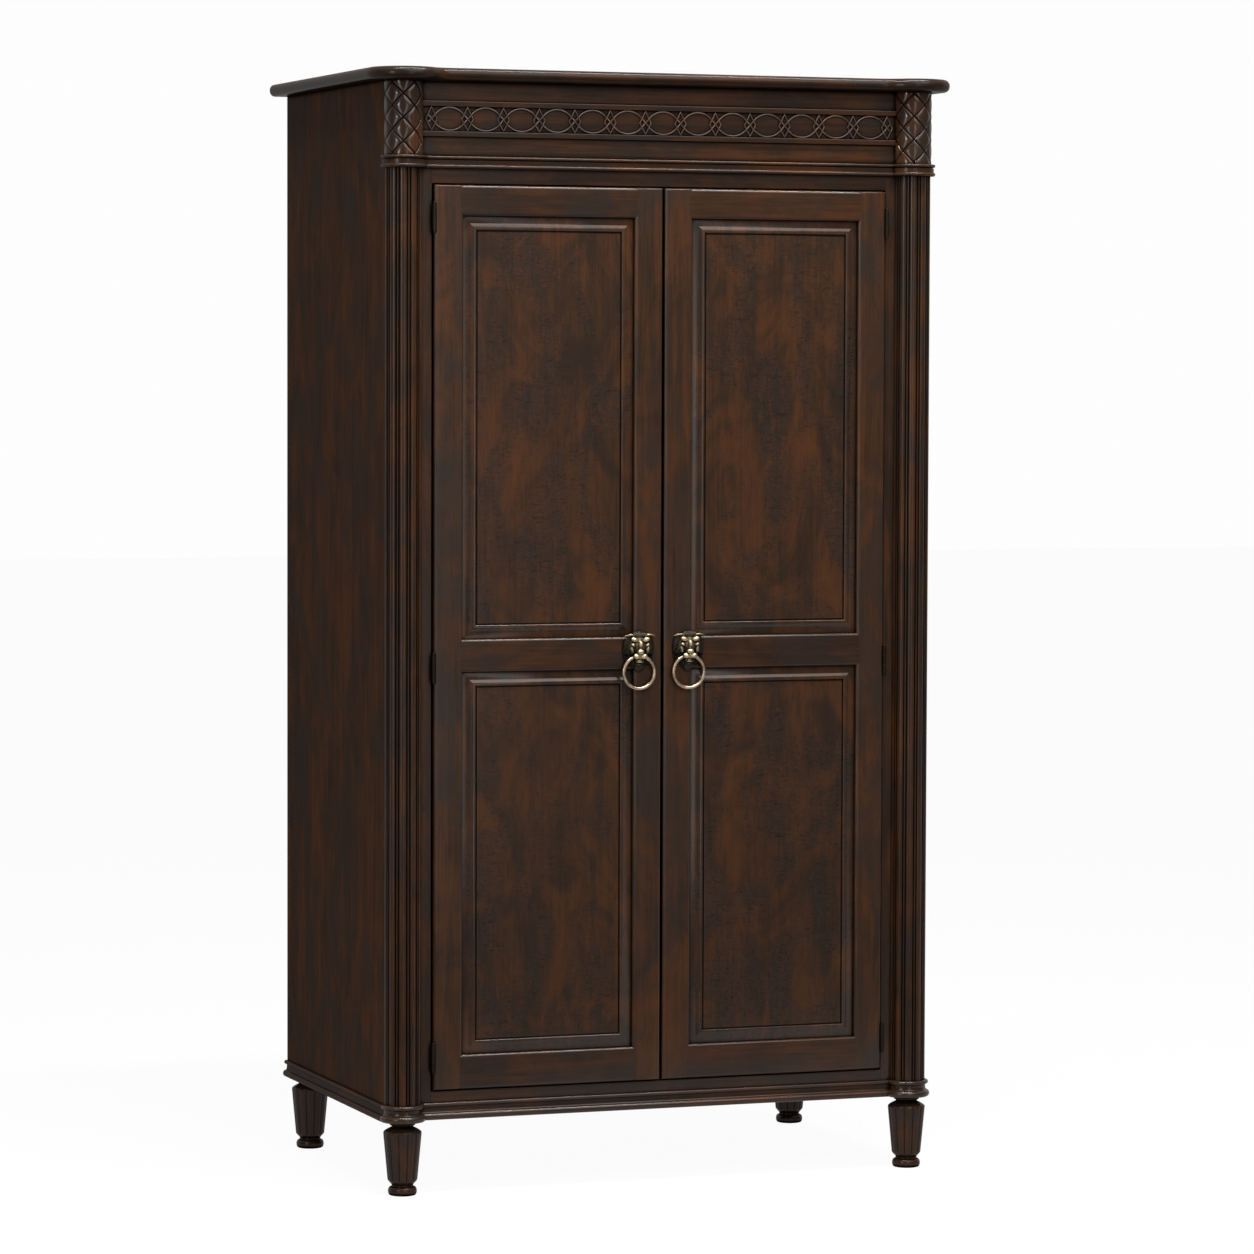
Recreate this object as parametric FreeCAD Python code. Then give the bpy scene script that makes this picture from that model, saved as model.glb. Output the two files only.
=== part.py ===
# Two-door wardrobe in dark walnut: carved frieze, lattice capitals, reeded corner
# columns, framed doors with raised panels, lion-mask ring pulls and turned feet.
# Units are millimetres. +Z is up, the doors face -Y, and the origin is the middle of
# the floor under the whole piece.

import FreeCAD, Part
import math
import os

V = FreeCAD.Vector

# Overall sizes
overall_height = 2130.0
carcass_depth = 652.0           # front frame to back
column_axis_x = 520.0           # centre line to the axis of a corner column
overrun = 20.0                  # how far any cutting tool passes the work

# Top board
board_thickness = 24.0
board_edge_round = 11.0
ear_radius = 72.0               # rounded corner over each column
board_front_overhang = 37.0     # straight front edge, in front of the frame
ear_blend_radius = 50.0         # hollow curve from the corner into the front edge
ear_joint_x = 378.0             # joint between a corner piece and the board

# Front frame and sides
frame_thickness = 25.0
side_thickness = 20.0
front_stile_width = 72.0
top_rail_height = 51.0          # up to the underside of the capitals
bottom_rail_height = 54.0       # up from the top of the feet

# Corner columns
column_radius = 36.0
reed_spacing_deg = 36.0
bead_span_deg = 9.0
reed_depth = 2.6                # grooves beside each narrow bead
bead_drop = 0.9                 # crest of the narrow bead under the reeds

# Capitals
capital_height = 140.0
capital_radius = 37.5
lattice_pitch = 44.8            # height of one carved diamond
lattice_step_deg = 36.0
lattice_depth = 2.4
lattice_width = 4.6
lattice_rows = 3                # crossings above and below the middle
lattice_run_out_deg = 12.0      # how far a groove's cutter passes the half round

# Moulding round the columns and front, under the frieze
mid_moulding_height = 23.0
mid_moulding_projection = 9.0
mid_bead_height = 6.0
mid_quirk_depth = 2.5
mid_quirk_height = 1.6
mid_band_recess = 3.0
mid_foot_height = 7.0

# Moulding round the base
base_moulding_height = 33.0
base_moulding_projection = 9.0
base_torus_height = 13.0
base_bead_height = 8.0
base_bead_recess = 2.5
base_cove_recess = 5.5

# Small round work is made of flats, this many to a bead, a hollow or a ball
bead_flat_count = 3
torus_flat_count = 4
tip_flat_count = 2

# Frieze
fillet_height = 10.0
fillet_thickness = 4.5
fretwork_height = 46.8
fretwork_thickness = 3.5
strand_width = 3.8
fretwork_end_gap = 4.1          # last knot to the capital
oval_count = 13
strand_slope_deg = 48.0
knot_half_width = 13.0
knot_strand_width = 3.4
strand_tail = 8.0               # strand beyond the middle of an end knot

# Doors
door_gap = 3.0
meeting_gap = 4.0
door_thickness = 24.0
door_proud = 10.0
door_edge_round = 5.0
stile_width = 57.0
door_top_rail_width = 58.0
door_bottom_rail_width = 66.0
lock_rail_width = 63.0
lock_rail_z = 991.0             # its lower edge
frame_arris_round = 5.5
panel_groove_width = 6.0
panel_groove_depth = 8.0
panel_play = 1.0                # room for the panel to move in its groove
panel_bevel_width = 17.0
panel_bevel_rise = 4.0
panel_bead_width = 9.0
panel_bead_rise = 3.6
panel_bead_round = 3.2
panel_quirk_width = 3.0
panel_field_rise = 2.4
panel_field_round = 1.2

# Hinges
hinge_leaf_thickness = 1.3
hinge_leaf_depth = 12.0         # leaf along the frame, behind its front face
hinge_length = 51.0
hinge_knuckle_count = 3
hinge_knuckle_gap = 0.3
hinge_barrel_radius = 3.6
hinge_pin_radius = 2.0
hinge_pin_play = 0.05
hinge_tip_radius = 2.0          # the button's flat end
hinge_tip_height = 4.5
hinge_axis_forward = 1.0        # hinge axis in front of the door's face
hinge_end_inset = 62.0          # door end to the middle of the end hinges
hinge_middle_z = 1000.0

# Lion-mask pulls
pull_x = 51.0
ring_pivot_height = 26.0        # above the lower edge of the lock rail
ring_outer_radius = 34.4
ring_tube_radius = 3.2
ring_pivot_forward = 8.0        # ring's tube in front of the door's face
mouth_bore_play = 0.35          # round the ring's curved tube
muzzle_half_width = 13.0
muzzle_radius = 8.6
mask_plate_thickness = 4.0
mask_top = 47.5                 # heights from the ring's pivot
mask_ear_z = 36.0
mask_ear_x = 33.5
mask_ear_drop = 7.0
mask_crown_x = 15.0
mask_mane_x = 34.0
mask_mane_z = 6.0
mask_jowl_x = 26.0
mask_jowl_z = -14.0
mask_chin_x = 11.0
mask_chin_z = -32.0
head_half_width = 21.0
head_half_height = 25.0
head_depth = 12.0
head_z = 20.0
head_crown_deg = 72.0           # where the swelling ends in a flat crown
brow_radius = 7.0
brow_x = 9.0
brow_z = 25.0
brow_forward = 9.5
nose_half_width = 4.0
nose_top_z = 24.0
nose_forward = 19.0
jaw_radius = 6.5
jaw_drop = 10.5
jaw_forward = 9.0

# Catches on the door stop
stop_clearance = 0.3
stop_height = 18.0
sill_stop_depth = 16.0
sill_stop_height = 12.0
strike_thickness = 1.0
strike_width = 32.0
strike_height = 13.0
catch_x = 50.0
catch_width = 40.0
catch_depth = 18.0
catch_height = 16.0
catch_clearance = 0.3
strike_margin = 1.5             # strike plate inside the catch's outline

# Inside the carcass
bottom_board_thickness = 20.0
back_thickness = 8.0
back_rebate = 10.0
rear_rail_thickness = 20.0
rear_top_rail_height = 60.0
shelf_thickness = 20.0
shelf_drop = 155.0              # its top under the top of the opening
shelf_setback = 60.0
cleat_width = 20.0
cleat_height = 25.0
rod_radius = 15.0
rod_play = 0.1
rod_drop = 90.0                 # its axis under the top of the shelf
rod_depth_share = 0.5           # of the depth inside the carcass
socket_radius = 24.0
socket_depth = 16.0
socket_floor = 4.0
foot_block_size = 60.0

# Feet
foot_height = 140.0
rear_foot_inset = 40.0          # rear foot's axis in front of the back
foot_reed_count = 12
foot_reed_depth = 2.0
foot_reed_crest_share = 0.26    # of a reed's width, from its groove to its crest
foot_top_radius = 36.5
foot_shoulder_drop = 19.0       # under the top of the foot
foot_throat_drop = 8.5
foot_throat_radius = 20.5
foot_collar_radius = 24.5
foot_collar_height = 6.0
foot_bottom_radius = 28.5
foot_taper_end_z = 30.0
foot_reed_end_z = 26.0
foot_reed_end_radius = 25.5
foot_neck_radius = 20.5
foot_neck_z = 20.0
foot_pad_radius = 27.5
foot_pad_middle_z = 8.0         # half the pad's height
foot_pad_face_radius = 23.0
foot_spigot_radius = 10.0
foot_spigot_length = 26.0
foot_spigot_play = 0.05

# Places that follow from the sizes
front_y = (ear_radius - carcass_depth) / 2
back_y = front_y + carcass_depth
body_half_width = column_axis_x + column_radius
inner_half_width = body_half_width - side_thickness
opening_half_width = inner_half_width - front_stile_width
board_bottom_z = overall_height - board_thickness
capital_z = board_bottom_z - capital_height
mid_moulding_z = capital_z - mid_moulding_height
base_top_z = foot_height + base_moulding_height
fretwork_half_width = column_axis_x - capital_radius - fretwork_end_gap
oval_pitch = 2 * (fretwork_half_width - knot_half_width) / oval_count
frame_rear_y = front_y + frame_thickness
back_front_y = back_y - back_thickness
opening_top_z = capital_z - top_rail_height
opening_bottom_z = foot_height + bottom_rail_height
bottom_board_z = opening_bottom_z - bottom_board_thickness
door_front_y = front_y - door_proud
door_rear_y = door_front_y + door_thickness
door_outer_x = opening_half_width - door_gap
door_inner_x = meeting_gap / 2
door_bottom_z = opening_bottom_z + door_gap
door_top_z = opening_top_z - door_gap
rear_foot_y = back_y - rear_foot_inset
ring_pivot_z = lock_rail_z + ring_pivot_height
shelf_top_z = opening_top_z - shelf_drop
rod_z = shelf_top_z - rod_drop
foot_shoulder_z = foot_height - foot_shoulder_drop
foot_throat_z = foot_height - foot_throat_drop


# Small makers used by every piece

def slab(x0, x1, y0, y1, z0, z1):
    """Board between two corners."""
    return Part.makeBox(x1 - x0, y1 - y0, z1 - z0, V(x0, y0, z0))


def line(a, b):
    return Part.LineSegment(a, b).toShape()


def arc(a, b, c):
    return Part.Arc(a, b, c).toShape()


def polyline(points):
    return [line(a, b) for a, b in zip(points, points[1:])]


def prism(edges, direction):
    """Solid made by pushing a closed outline along a direction."""
    return Part.Face(Part.Wire(edges)).extrude(direction)


def turned(edges, x, y, degrees=360.0, start=0.0):
    """Solid turned about a vertical axis, from an outline drawn in the XZ plane."""
    solid = Part.Face(Part.Wire(edges)).revolve(V(0, 0, 0), V(0, 0, 1), degrees)
    solid.rotate(V(0, 0, 0), V(0, 0, 1), start)
    solid.translate(V(x, y, 0))
    return solid


def flats(centre, reach, start, end, count):
    """Corners of a round stretch cut as flats, as pairs of out and up."""
    corners = []
    for k in range(count + 1):
        a = math.radians(start + (end - start) * k / count)
        corners.append((centre[0] + reach[0] * math.cos(a), centre[1] + reach[1] * math.sin(a)))
    return corners


def mirrored(shape):
    """The same piece for the other side of the wardrobe."""
    return shape.mirror(V(0, 0, 0), V(1, 0, 0))


def pair(shape):
    return [shape, mirrored(shape)]


def save(name, *solids):
    shape = solids[0] if len(solids) == 1 else Part.makeCompound(list(solids))
    shape.exportStep(os.path.join("parts", name + ".step"))


os.makedirs("parts", exist_ok=True)


# Top board: full bullnose, rounded corners over the columns made as separate pieces

def board_outline(inset, z):
    """Outline of the board drawn in by the same distance at its front and sides."""
    x = column_axis_x
    ear = ear_radius - inset
    blend = ear_blend_radius + inset
    lead_y = front_y - board_front_overhang + inset
    drop = board_front_overhang + ear_blend_radius
    across = math.sqrt((ear_radius + ear_blend_radius) ** 2 - drop ** 2)
    meet = math.degrees(math.atan2(-drop, across))

    def on_ear(degrees):
        a = math.radians(degrees)
        return V(-x + ear * math.cos(a), front_y + ear * math.sin(a), z)

    def on_blend(degrees):
        a = math.radians(degrees)
        return V(-x + across + blend * math.cos(a), lead_y - blend + blend * math.sin(a), z)

    def flip(p):
        return V(-p.x, p.y, p.z)

    side_back = V(-x - ear, back_y, z)
    ear_start = on_ear(-180.0)
    ear_middle = on_ear((meet - 180.0) / 2)
    ear_end = on_ear(meet)
    blend_middle = on_blend((meet + 270.0) / 2)
    blend_end = on_blend(90.0)
    edges = [line(side_back, ear_start), arc(ear_start, ear_middle, ear_end)]
    edges += [arc(ear_end, blend_middle, blend_end), line(blend_end, flip(blend_end))]
    edges.append(arc(flip(blend_end), flip(blend_middle), flip(ear_end)))
    edges.append(arc(flip(ear_end), flip(ear_middle), flip(ear_start)))
    edges += [line(flip(ear_start), flip(side_back)), line(flip(side_back), side_back)]
    return Part.Wire(edges)


def board_blank():
    """Board with its edge rounded over in flats, the underside as the top."""
    nose = (board_edge_round, board_edge_round)
    lower = flats((0, board_bottom_z + board_edge_round), nose, -90.0, 0, bead_flat_count)
    upper = flats((0, overall_height - board_edge_round), nose, 0, 90.0, bead_flat_count)
    return Part.makeLoft([board_outline(board_edge_round - out, z) for out, z in lower + upper], True, True)


whole_board = board_blank()
corner_cut = slab(-column_axis_x - ear_radius - overrun, -ear_joint_x,
                  front_y - ear_radius - overrun, front_y,
                  board_bottom_z - overrun, overall_height + overrun)
left_top_corner = whole_board.common(corner_cut)
top_board = whole_board.cut(corner_cut).cut(mirrored(corner_cut))
save("top_board", top_board)
save("left_top_corner", left_top_corner)
save("right_top_corner", mirrored(left_top_corner))


# Sides: boards with a rebate for the back

rebate = slab(-inner_half_width - back_rebate, -inner_half_width + overrun,
              back_front_y, back_y + overrun, foot_height - overrun, board_bottom_z + overrun)
left_side = slab(-body_half_width, -inner_half_width, front_y, back_y, foot_height, board_bottom_z)
left_side = left_side.cut(rebate)
save("left_side_panel", left_side)
save("right_side_panel", mirrored(left_side))


# Front frame: stiles, top rail and bottom rail round the door opening

spigot_hole = Part.makeCylinder(foot_spigot_radius + foot_spigot_play,
                                foot_spigot_length + foot_spigot_play + overrun,
                                V(-column_axis_x, front_y, foot_height - overrun))
left_stile = slab(-inner_half_width, -opening_half_width, front_y, frame_rear_y, foot_height, capital_z)
left_stile = left_stile.cut(spigot_hole)
save("left_front_stile", left_stile)
save("right_front_stile", mirrored(left_stile))
save("top_rail", slab(-opening_half_width, opening_half_width, front_y, frame_rear_y,
                      opening_top_z, capital_z))
save("bottom_rail", slab(-opening_half_width, opening_half_width, front_y, frame_rear_y,
                         foot_height, opening_bottom_z))


# Corner columns: half-round, with broad reeds and a narrow bead between them

def polar(radius, degrees, z=0.0):
    """Point round a corner axis. Zero degrees faces the front."""
    a = math.radians(degrees)
    return V(radius * math.sin(a), -radius * math.cos(a), z)


def reeded_edges(z):
    edges = []
    groove = column_radius - reed_depth
    bead = bead_span_deg / 2
    periods = int(round(90.0 / reed_spacing_deg + 0.5))
    for k in range(-periods, periods):
        centre = k * reed_spacing_deg
        a = centre - bead
        b = centre + bead
        c = centre + reed_spacing_deg - bead
        edges.append(arc(polar(groove, a, z), polar(column_radius - bead_drop, centre, z), polar(groove, b, z)))
        edges.append(arc(polar(groove, b, z), polar(column_radius, (b + c) / 2, z), polar(groove, c, z)))
    return edges, polar(groove, -periods * reed_spacing_deg - bead, z), polar(groove, c, z)


def left_column_piece():
    edges, first, last = reeded_edges(base_top_z)
    edges.append(line(last, V(0, 0, base_top_z)))
    edges.append(line(V(0, 0, base_top_z), first))
    column = prism(edges, V(0, 0, mid_moulding_z - base_top_z))
    reach = column_radius + overrun
    column = column.cut(slab(-reach, reach, 0, reach, base_top_z - overrun, mid_moulding_z + overrun))
    column.translate(V(-column_axis_x, front_y, 0))
    return column


left_column = left_column_piece()
save("left_column", left_column)
save("right_column", mirrored(left_column))


# Capitals: half-round blocks with a diamond lattice of V grooves cut along helices

def lattice_groove(start_z, left_handed):
    """One V groove climbing round the capital from its left edge to its right edge."""
    turn_height = lattice_pitch * 360.0 / (2 * lattice_step_deg)
    lead_in = lattice_run_out_deg
    rise = turn_height * (180.0 + 2 * lead_in) / 360.0
    path = Part.makeHelix(turn_height, rise, capital_radius, 0, left_handed)
    outer = capital_radius + lattice_depth
    inner = capital_radius - lattice_depth
    half = lattice_width
    a = V(inner, 0, 0)
    b = V(outer, 0, half)
    c = V(outer, 0, -half)
    groove = path.makePipeShell([Part.Wire(polyline([a, b, c, a]))], True, True)
    offset = turn_height * lead_in / 360.0
    groove.translate(V(0, 0, start_z - offset))
    if left_handed:
        groove.rotate(V(0, 0, 0), V(0, 0, 1), lead_in)
    else:
        groove.rotate(V(0, 0, 0), V(0, 0, 1), -180.0 - lead_in)
    return groove


def left_capital_piece():
    block = Part.makeCylinder(capital_radius, capital_height, V(0, 0, capital_z), V(0, 0, 1), 180.0)
    block.rotate(V(0, 0, 0), V(0, 0, 1), 180.0)
    middle = capital_z + capital_height / 2
    half_turns = 90.0 / lattice_step_deg
    climb = lattice_pitch / 2
    for k in range(-lattice_rows - 1, lattice_rows + 1):
        start = middle + k * lattice_pitch - (half_turns - 0.5) * climb
        block = block.cut(lattice_groove(start, False))
    for k in range(-lattice_rows - 1, lattice_rows + 1):
        start = middle + k * lattice_pitch - (half_turns + 0.5) * climb
        block = block.cut(lattice_groove(start, True))
    block.translate(V(-column_axis_x, front_y, 0))
    return block


left_capital = left_capital_piece()
save("left_capital", left_capital)
save("right_capital", mirrored(left_capital))


# Moulding profiles: u is out from the wood behind, v is up

def mid_profile(root, core, z0, place):
    """Closed outline: rounded foot, flat band, quirk and bead, with its core behind."""
    out = mid_moulding_projection
    top = mid_moulding_height
    bead = mid_bead_height / 2
    foot = mid_foot_height / 2
    band = out - mid_band_recess
    quirk = band - mid_quirk_depth
    bead_low = top - mid_bead_height
    corners = [(-core, 0)]
    corners += flats((band, foot), (mid_band_recess, foot), -90.0, 90.0, bead_flat_count)
    corners += [(band, bead_low - mid_quirk_height), (quirk, bead_low - mid_quirk_height), (quirk, bead_low)]
    corners += flats((out - bead, bead_low + bead), (bead, bead), -90.0, 90.0, bead_flat_count)
    corners += [(-core, top), (-core, 0)]
    return polyline([place(root + u, z0 + v) for u, v in corners])


def base_profile(root, core, z0, place):
    """Closed outline: heavy bead, hollow and light bead, with its core behind."""
    out = base_moulding_projection
    top = base_moulding_height
    heavy = base_torus_height / 2
    light = base_bead_height / 2
    cove = out - base_cove_recess
    bead_root = out - base_bead_recess - light
    hollow_top = top - base_bead_height
    corners = [(-core, 0)]
    corners += flats((cove, heavy), (base_cove_recess, heavy), -90.0, 90.0, torus_flat_count)
    corners.append((bead_root / 2, (base_torus_height + hollow_top) / 2))
    corners += flats((bead_root, hollow_top + light), (light, light), -90.0, 90.0, bead_flat_count)
    corners += [(-core, top), (-core, 0)]
    return polyline([place(root + u, z0 + v) for u, v in corners])


def on_radius(u, v):
    return V(u, 0, v)


def on_front(u, v):
    return V(-column_axis_x, front_y - u, v)


def on_side(u, v):
    return V(-body_half_width - u, front_y, v)


def half_ring(profile, z0):
    """Half-round block under or over a column, with the moulding turned on its edge."""
    return turned(profile(column_radius, column_radius, z0, on_radius), -column_axis_x, front_y, 180.0, 180.0)


def between_columns(profile, z0):
    """Straight moulding across the front, its ends coped to the half rings."""
    bar = prism(profile(0, 0, z0, on_front), V(2 * column_axis_x, 0, 0))
    ring = half_ring(profile, z0)
    return bar.cut(ring).cut(mirrored(ring))


save("mid_moulding_rings", *pair(half_ring(mid_profile, mid_moulding_z)))
save("mid_moulding", between_columns(mid_profile, mid_moulding_z))

save("base_moulding_corners", *pair(half_ring(base_profile, foot_height).cut(spigot_hole)))
save("front_base_moulding", between_columns(base_profile, foot_height))
side_base = prism(base_profile(0, 0, foot_height, on_side), V(0, carcass_depth, 0))
save("side_base_mouldings", *pair(side_base))


# Frieze: board, two flat fillets and the fretwork band of interlaced ovals between them

frieze_board = slab(-inner_half_width, inner_half_width, front_y, frame_rear_y, capital_z, board_bottom_z)
save("frieze_board", frieze_board)

frieze_middle_z = capital_z + capital_height / 2
capital_envelope = Part.makeCylinder(capital_radius, capital_height, V(-column_axis_x, front_y, capital_z))


def frieze_fillet(low_z):
    strip = slab(-column_axis_x, column_axis_x, front_y - fillet_thickness, front_y,
                 low_z, low_z + fillet_height)
    return strip.cut(capital_envelope).cut(mirrored(capital_envelope))


save("frieze_fillets",
     frieze_fillet(frieze_middle_z + fretwork_height / 2),
     frieze_fillet(frieze_middle_z - fretwork_height / 2 - fillet_height))


def strand_edges(offset, phase):
    """One long edge of a waving strand, from the left end knot to the right one."""
    phi = math.radians(strand_slope_deg)
    crest = (fretwork_height - strand_width) / 2
    half = oval_pitch / 2
    bend = (half - crest / math.tan(phi)) / (math.sin(phi) - (1 - math.cos(phi)) / math.tan(phi))
    left = -oval_count * half
    edges = []
    last = None
    for k in range(oval_count):
        side = phase if k % 2 == 0 else -phase
        centre = V(left + (2 * k + 1) * half, 0, side * (crest - bend))
        r = bend + side * offset

        def at(angle):
            return centre + V(r * math.sin(angle), 0, side * r * math.cos(angle))

        start = at(-phi)
        if last is None:
            back = V(-math.cos(phi), 0, -side * math.sin(phi)) * (strand_tail + crest)
            last = start + back
        edges.append(line(last, start))
        edges.append(arc(start, at(0), at(phi)))
        last = at(phi)
    forward = V(math.cos(phi), 0, -side * math.sin(phi)) * (strand_tail + crest)
    edges.append(line(last, last + forward))
    return edges, edges[0].firstVertex().Point, last + forward


def strand(phase):
    upper, upper_start, upper_end = strand_edges(strand_width / 2, phase)
    lower, lower_start, lower_end = strand_edges(-strand_width / 2, phase)
    edges = upper + [line(upper_end, lower_end)] + lower + [line(lower_start, upper_start)]
    wire = Part.Wire(Part.__sortEdges__(edges))
    return Part.Face(wire).extrude(V(0, -fretwork_thickness, 0))


def rhombus(half_width, half_height):
    points = [V(half_width, 0, 0), V(0, 0, half_height), V(-half_width, 0, 0), V(0, 0, -half_height)]
    return prism(polyline(points + points[:1]), V(0, -fretwork_thickness, 0))


def knot(index):
    """Diamond loop laced round the crossing of the two strands."""
    half_height = fretwork_height / 2
    slant = math.hypot(knot_half_width, half_height)
    inset_x = knot_strand_width * slant / half_height
    inset_z = knot_strand_width * slant / knot_half_width
    loop = rhombus(knot_half_width, half_height)
    loop = loop.cut(rhombus(knot_half_width - inset_x, half_height - inset_z))
    loop.translate(V((index - oval_count / 2) * oval_pitch, 0, 0))
    return loop


def fretwork():
    knots = [knot(k) for k in range(oval_count + 1)]
    band = strand(1).fuse([strand(-1)] + knots)
    end = oval_count * oval_pitch / 2
    field = slab(-end, end, -overrun, overrun, -fretwork_height / 2, fretwork_height / 2)
    for x in (-end, end):
        tip = rhombus(knot_half_width, fretwork_height / 2)
        tip.translate(V(x, 0, 0))
        field = field.fuse(tip)
    band = band.common(field).removeSplitter()
    band.translate(V(0, front_y, frieze_middle_z))
    return band


save("frieze_fretwork", *fretwork().Solids)


# Back, inner rails, bottom board and door stops

save("back_panel", slab(-inner_half_width - back_rebate, inner_half_width + back_rebate,
                        back_front_y, back_y, foot_height, board_bottom_z))
save("bottom_board", slab(-inner_half_width, inner_half_width, frame_rear_y, back_front_y,
                          bottom_board_z, opening_bottom_z))
save("rear_top_rail", slab(-inner_half_width, inner_half_width, back_front_y - rear_rail_thickness,
                           back_front_y, board_bottom_z - rear_top_rail_height, board_bottom_z))
save("rear_bottom_rail", slab(-inner_half_width + foot_block_size, inner_half_width - foot_block_size,
                              back_front_y - rear_rail_thickness, back_front_y,
                              foot_height, bottom_board_z))
stop_front_y = door_rear_y + stop_clearance
save("door_stops",
     slab(-opening_half_width, opening_half_width, stop_front_y, frame_rear_y,
          opening_top_z - stop_height, opening_top_z),
     slab(-opening_half_width, opening_half_width, stop_front_y, stop_front_y + sill_stop_depth,
          opening_bottom_z, opening_bottom_z + sill_stop_height))


# Hat shelf on two cleats, and the garment rod in its sockets

cleat_front_y = front_y + shelf_setback
shelf_bottom_z = shelf_top_z - shelf_thickness
save("hat_shelf", slab(-inner_half_width, inner_half_width, cleat_front_y, back_front_y,
                       shelf_bottom_z, shelf_top_z))
left_cleat = slab(-inner_half_width, -inner_half_width + cleat_width, cleat_front_y, back_front_y,
                  shelf_bottom_z - cleat_height, shelf_bottom_z)
save("shelf_cleats", *pair(left_cleat))

rod_y = frame_rear_y + (back_front_y - frame_rear_y) * rod_depth_share
rod_half = inner_half_width - socket_floor
save("garment_rod", Part.makeCylinder(rod_radius, 2 * rod_half, V(-rod_half, rod_y, rod_z), V(1, 0, 0)))
socket = Part.makeCylinder(socket_radius, socket_depth, V(-inner_half_width, rod_y, rod_z), V(1, 0, 0))
socket = socket.cut(Part.makeCylinder(rod_radius + rod_play, socket_depth + overrun,
                                      V(-rod_half, rod_y, rod_z), V(1, 0, 0)))
save("rod_sockets", *pair(socket))


# Feet: turned, with tapering reeds scalloped at the shoulder

def scalloped(radius, z):
    """Closed ring of reeds at one height, each with three flats."""
    corners = []
    step = 360.0 / foot_reed_count
    groove_radius = radius * (1 - foot_reed_depth / foot_top_radius)
    for k in range(foot_reed_count):
        corners.append(polar(groove_radius, k * step, z))
        corners.append(polar(radius, (k + foot_reed_crest_share) * step, z))
        corners.append(polar(radius, (k + 1 - foot_reed_crest_share) * step, z))
    return corners + corners[:1]


def tapered(low, high):
    """Solid between two rings of corners, one a smaller copy of the other, so all its sides are flat."""
    sides = [Part.Face(Part.makePolygon([a, b, d, c, a]))
             for a, b, c, d in zip(low, low[1:], high, high[1:])]
    ends = [Part.Face(Part.makePolygon(ring)) for ring in (low, high)]
    return Part.makeSolid(Part.makeShell(sides + ends))


def foot():
    taper = (foot_top_radius - foot_bottom_radius) / (foot_shoulder_z - foot_taper_end_z)
    low_radius = foot_bottom_radius - taper * (foot_taper_end_z - foot_reed_end_z)
    high_radius = foot_top_radius + taper * (foot_throat_z - foot_shoulder_z)
    reeds = tapered(scalloped(low_radius, foot_reed_end_z), scalloped(high_radius, foot_throat_z))
    pad = flats((foot_pad_face_radius, foot_pad_middle_z),
                (foot_pad_radius - foot_pad_face_radius, foot_pad_middle_z), -90.0, 90.0, bead_flat_count)
    corners = [(0, 0)] + pad
    corners += [(foot_neck_radius, foot_neck_z),
                (foot_reed_end_radius, foot_reed_end_z), (foot_bottom_radius, foot_taper_end_z),
                (foot_top_radius, foot_shoulder_z), (foot_throat_radius, foot_throat_z),
                (foot_collar_radius, foot_height - foot_collar_height), (foot_collar_radius, foot_height),
                (foot_spigot_radius, foot_height), (foot_spigot_radius, foot_height + foot_spigot_length),
                (0, foot_height + foot_spigot_length), (0, 0)]
    blank = turned(polyline([on_radius(u, v) for u, v in corners]), 0, 0)
    ring_radius = high_radius + overrun
    sleeve = Part.makeCylinder(ring_radius, foot_throat_z - foot_reed_end_z, V(0, 0, foot_reed_end_z))
    return blank.cut(sleeve.cut(reeds))


turned_foot = foot()
for name, x, y in (("front_left_foot", -column_axis_x, front_y), ("front_right_foot", column_axis_x, front_y),
                   ("rear_left_foot", -column_axis_x, rear_foot_y),
                   ("rear_right_foot", column_axis_x, rear_foot_y)):
    placed = turned_foot.copy()
    placed.translate(V(x, y, 0))
    save(name, placed)

block_inner_x = inner_half_width - foot_block_size
rear_block = slab(-inner_half_width, -block_inner_x, rear_foot_y - foot_block_size / 2, back_front_y,
                  foot_height, bottom_board_z)
rear_hole = spigot_hole.copy()
rear_hole.translate(V(0, rear_foot_y - front_y, 0))
rear_block = rear_block.cut(rear_hole)
front_block = slab(-inner_half_width, -block_inner_x, frame_rear_y, frame_rear_y + foot_block_size,
                   foot_height, bottom_board_z)
save("foot_blocks", *(pair(front_block) + pair(rear_block)))


# Doors: coped stiles and rails with two raised panels each

def door_blank():
    """The whole door as one board with its front edges rounded over."""
    blank = slab(-door_outer_x, -door_inner_x, door_front_y, door_rear_y, door_bottom_z, door_top_z)
    front_edges = [e for e in blank.Edges if e.BoundBox.YMax < door_front_y + door_edge_round]
    return blank.makeFillet(door_edge_round, front_edges)


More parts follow.
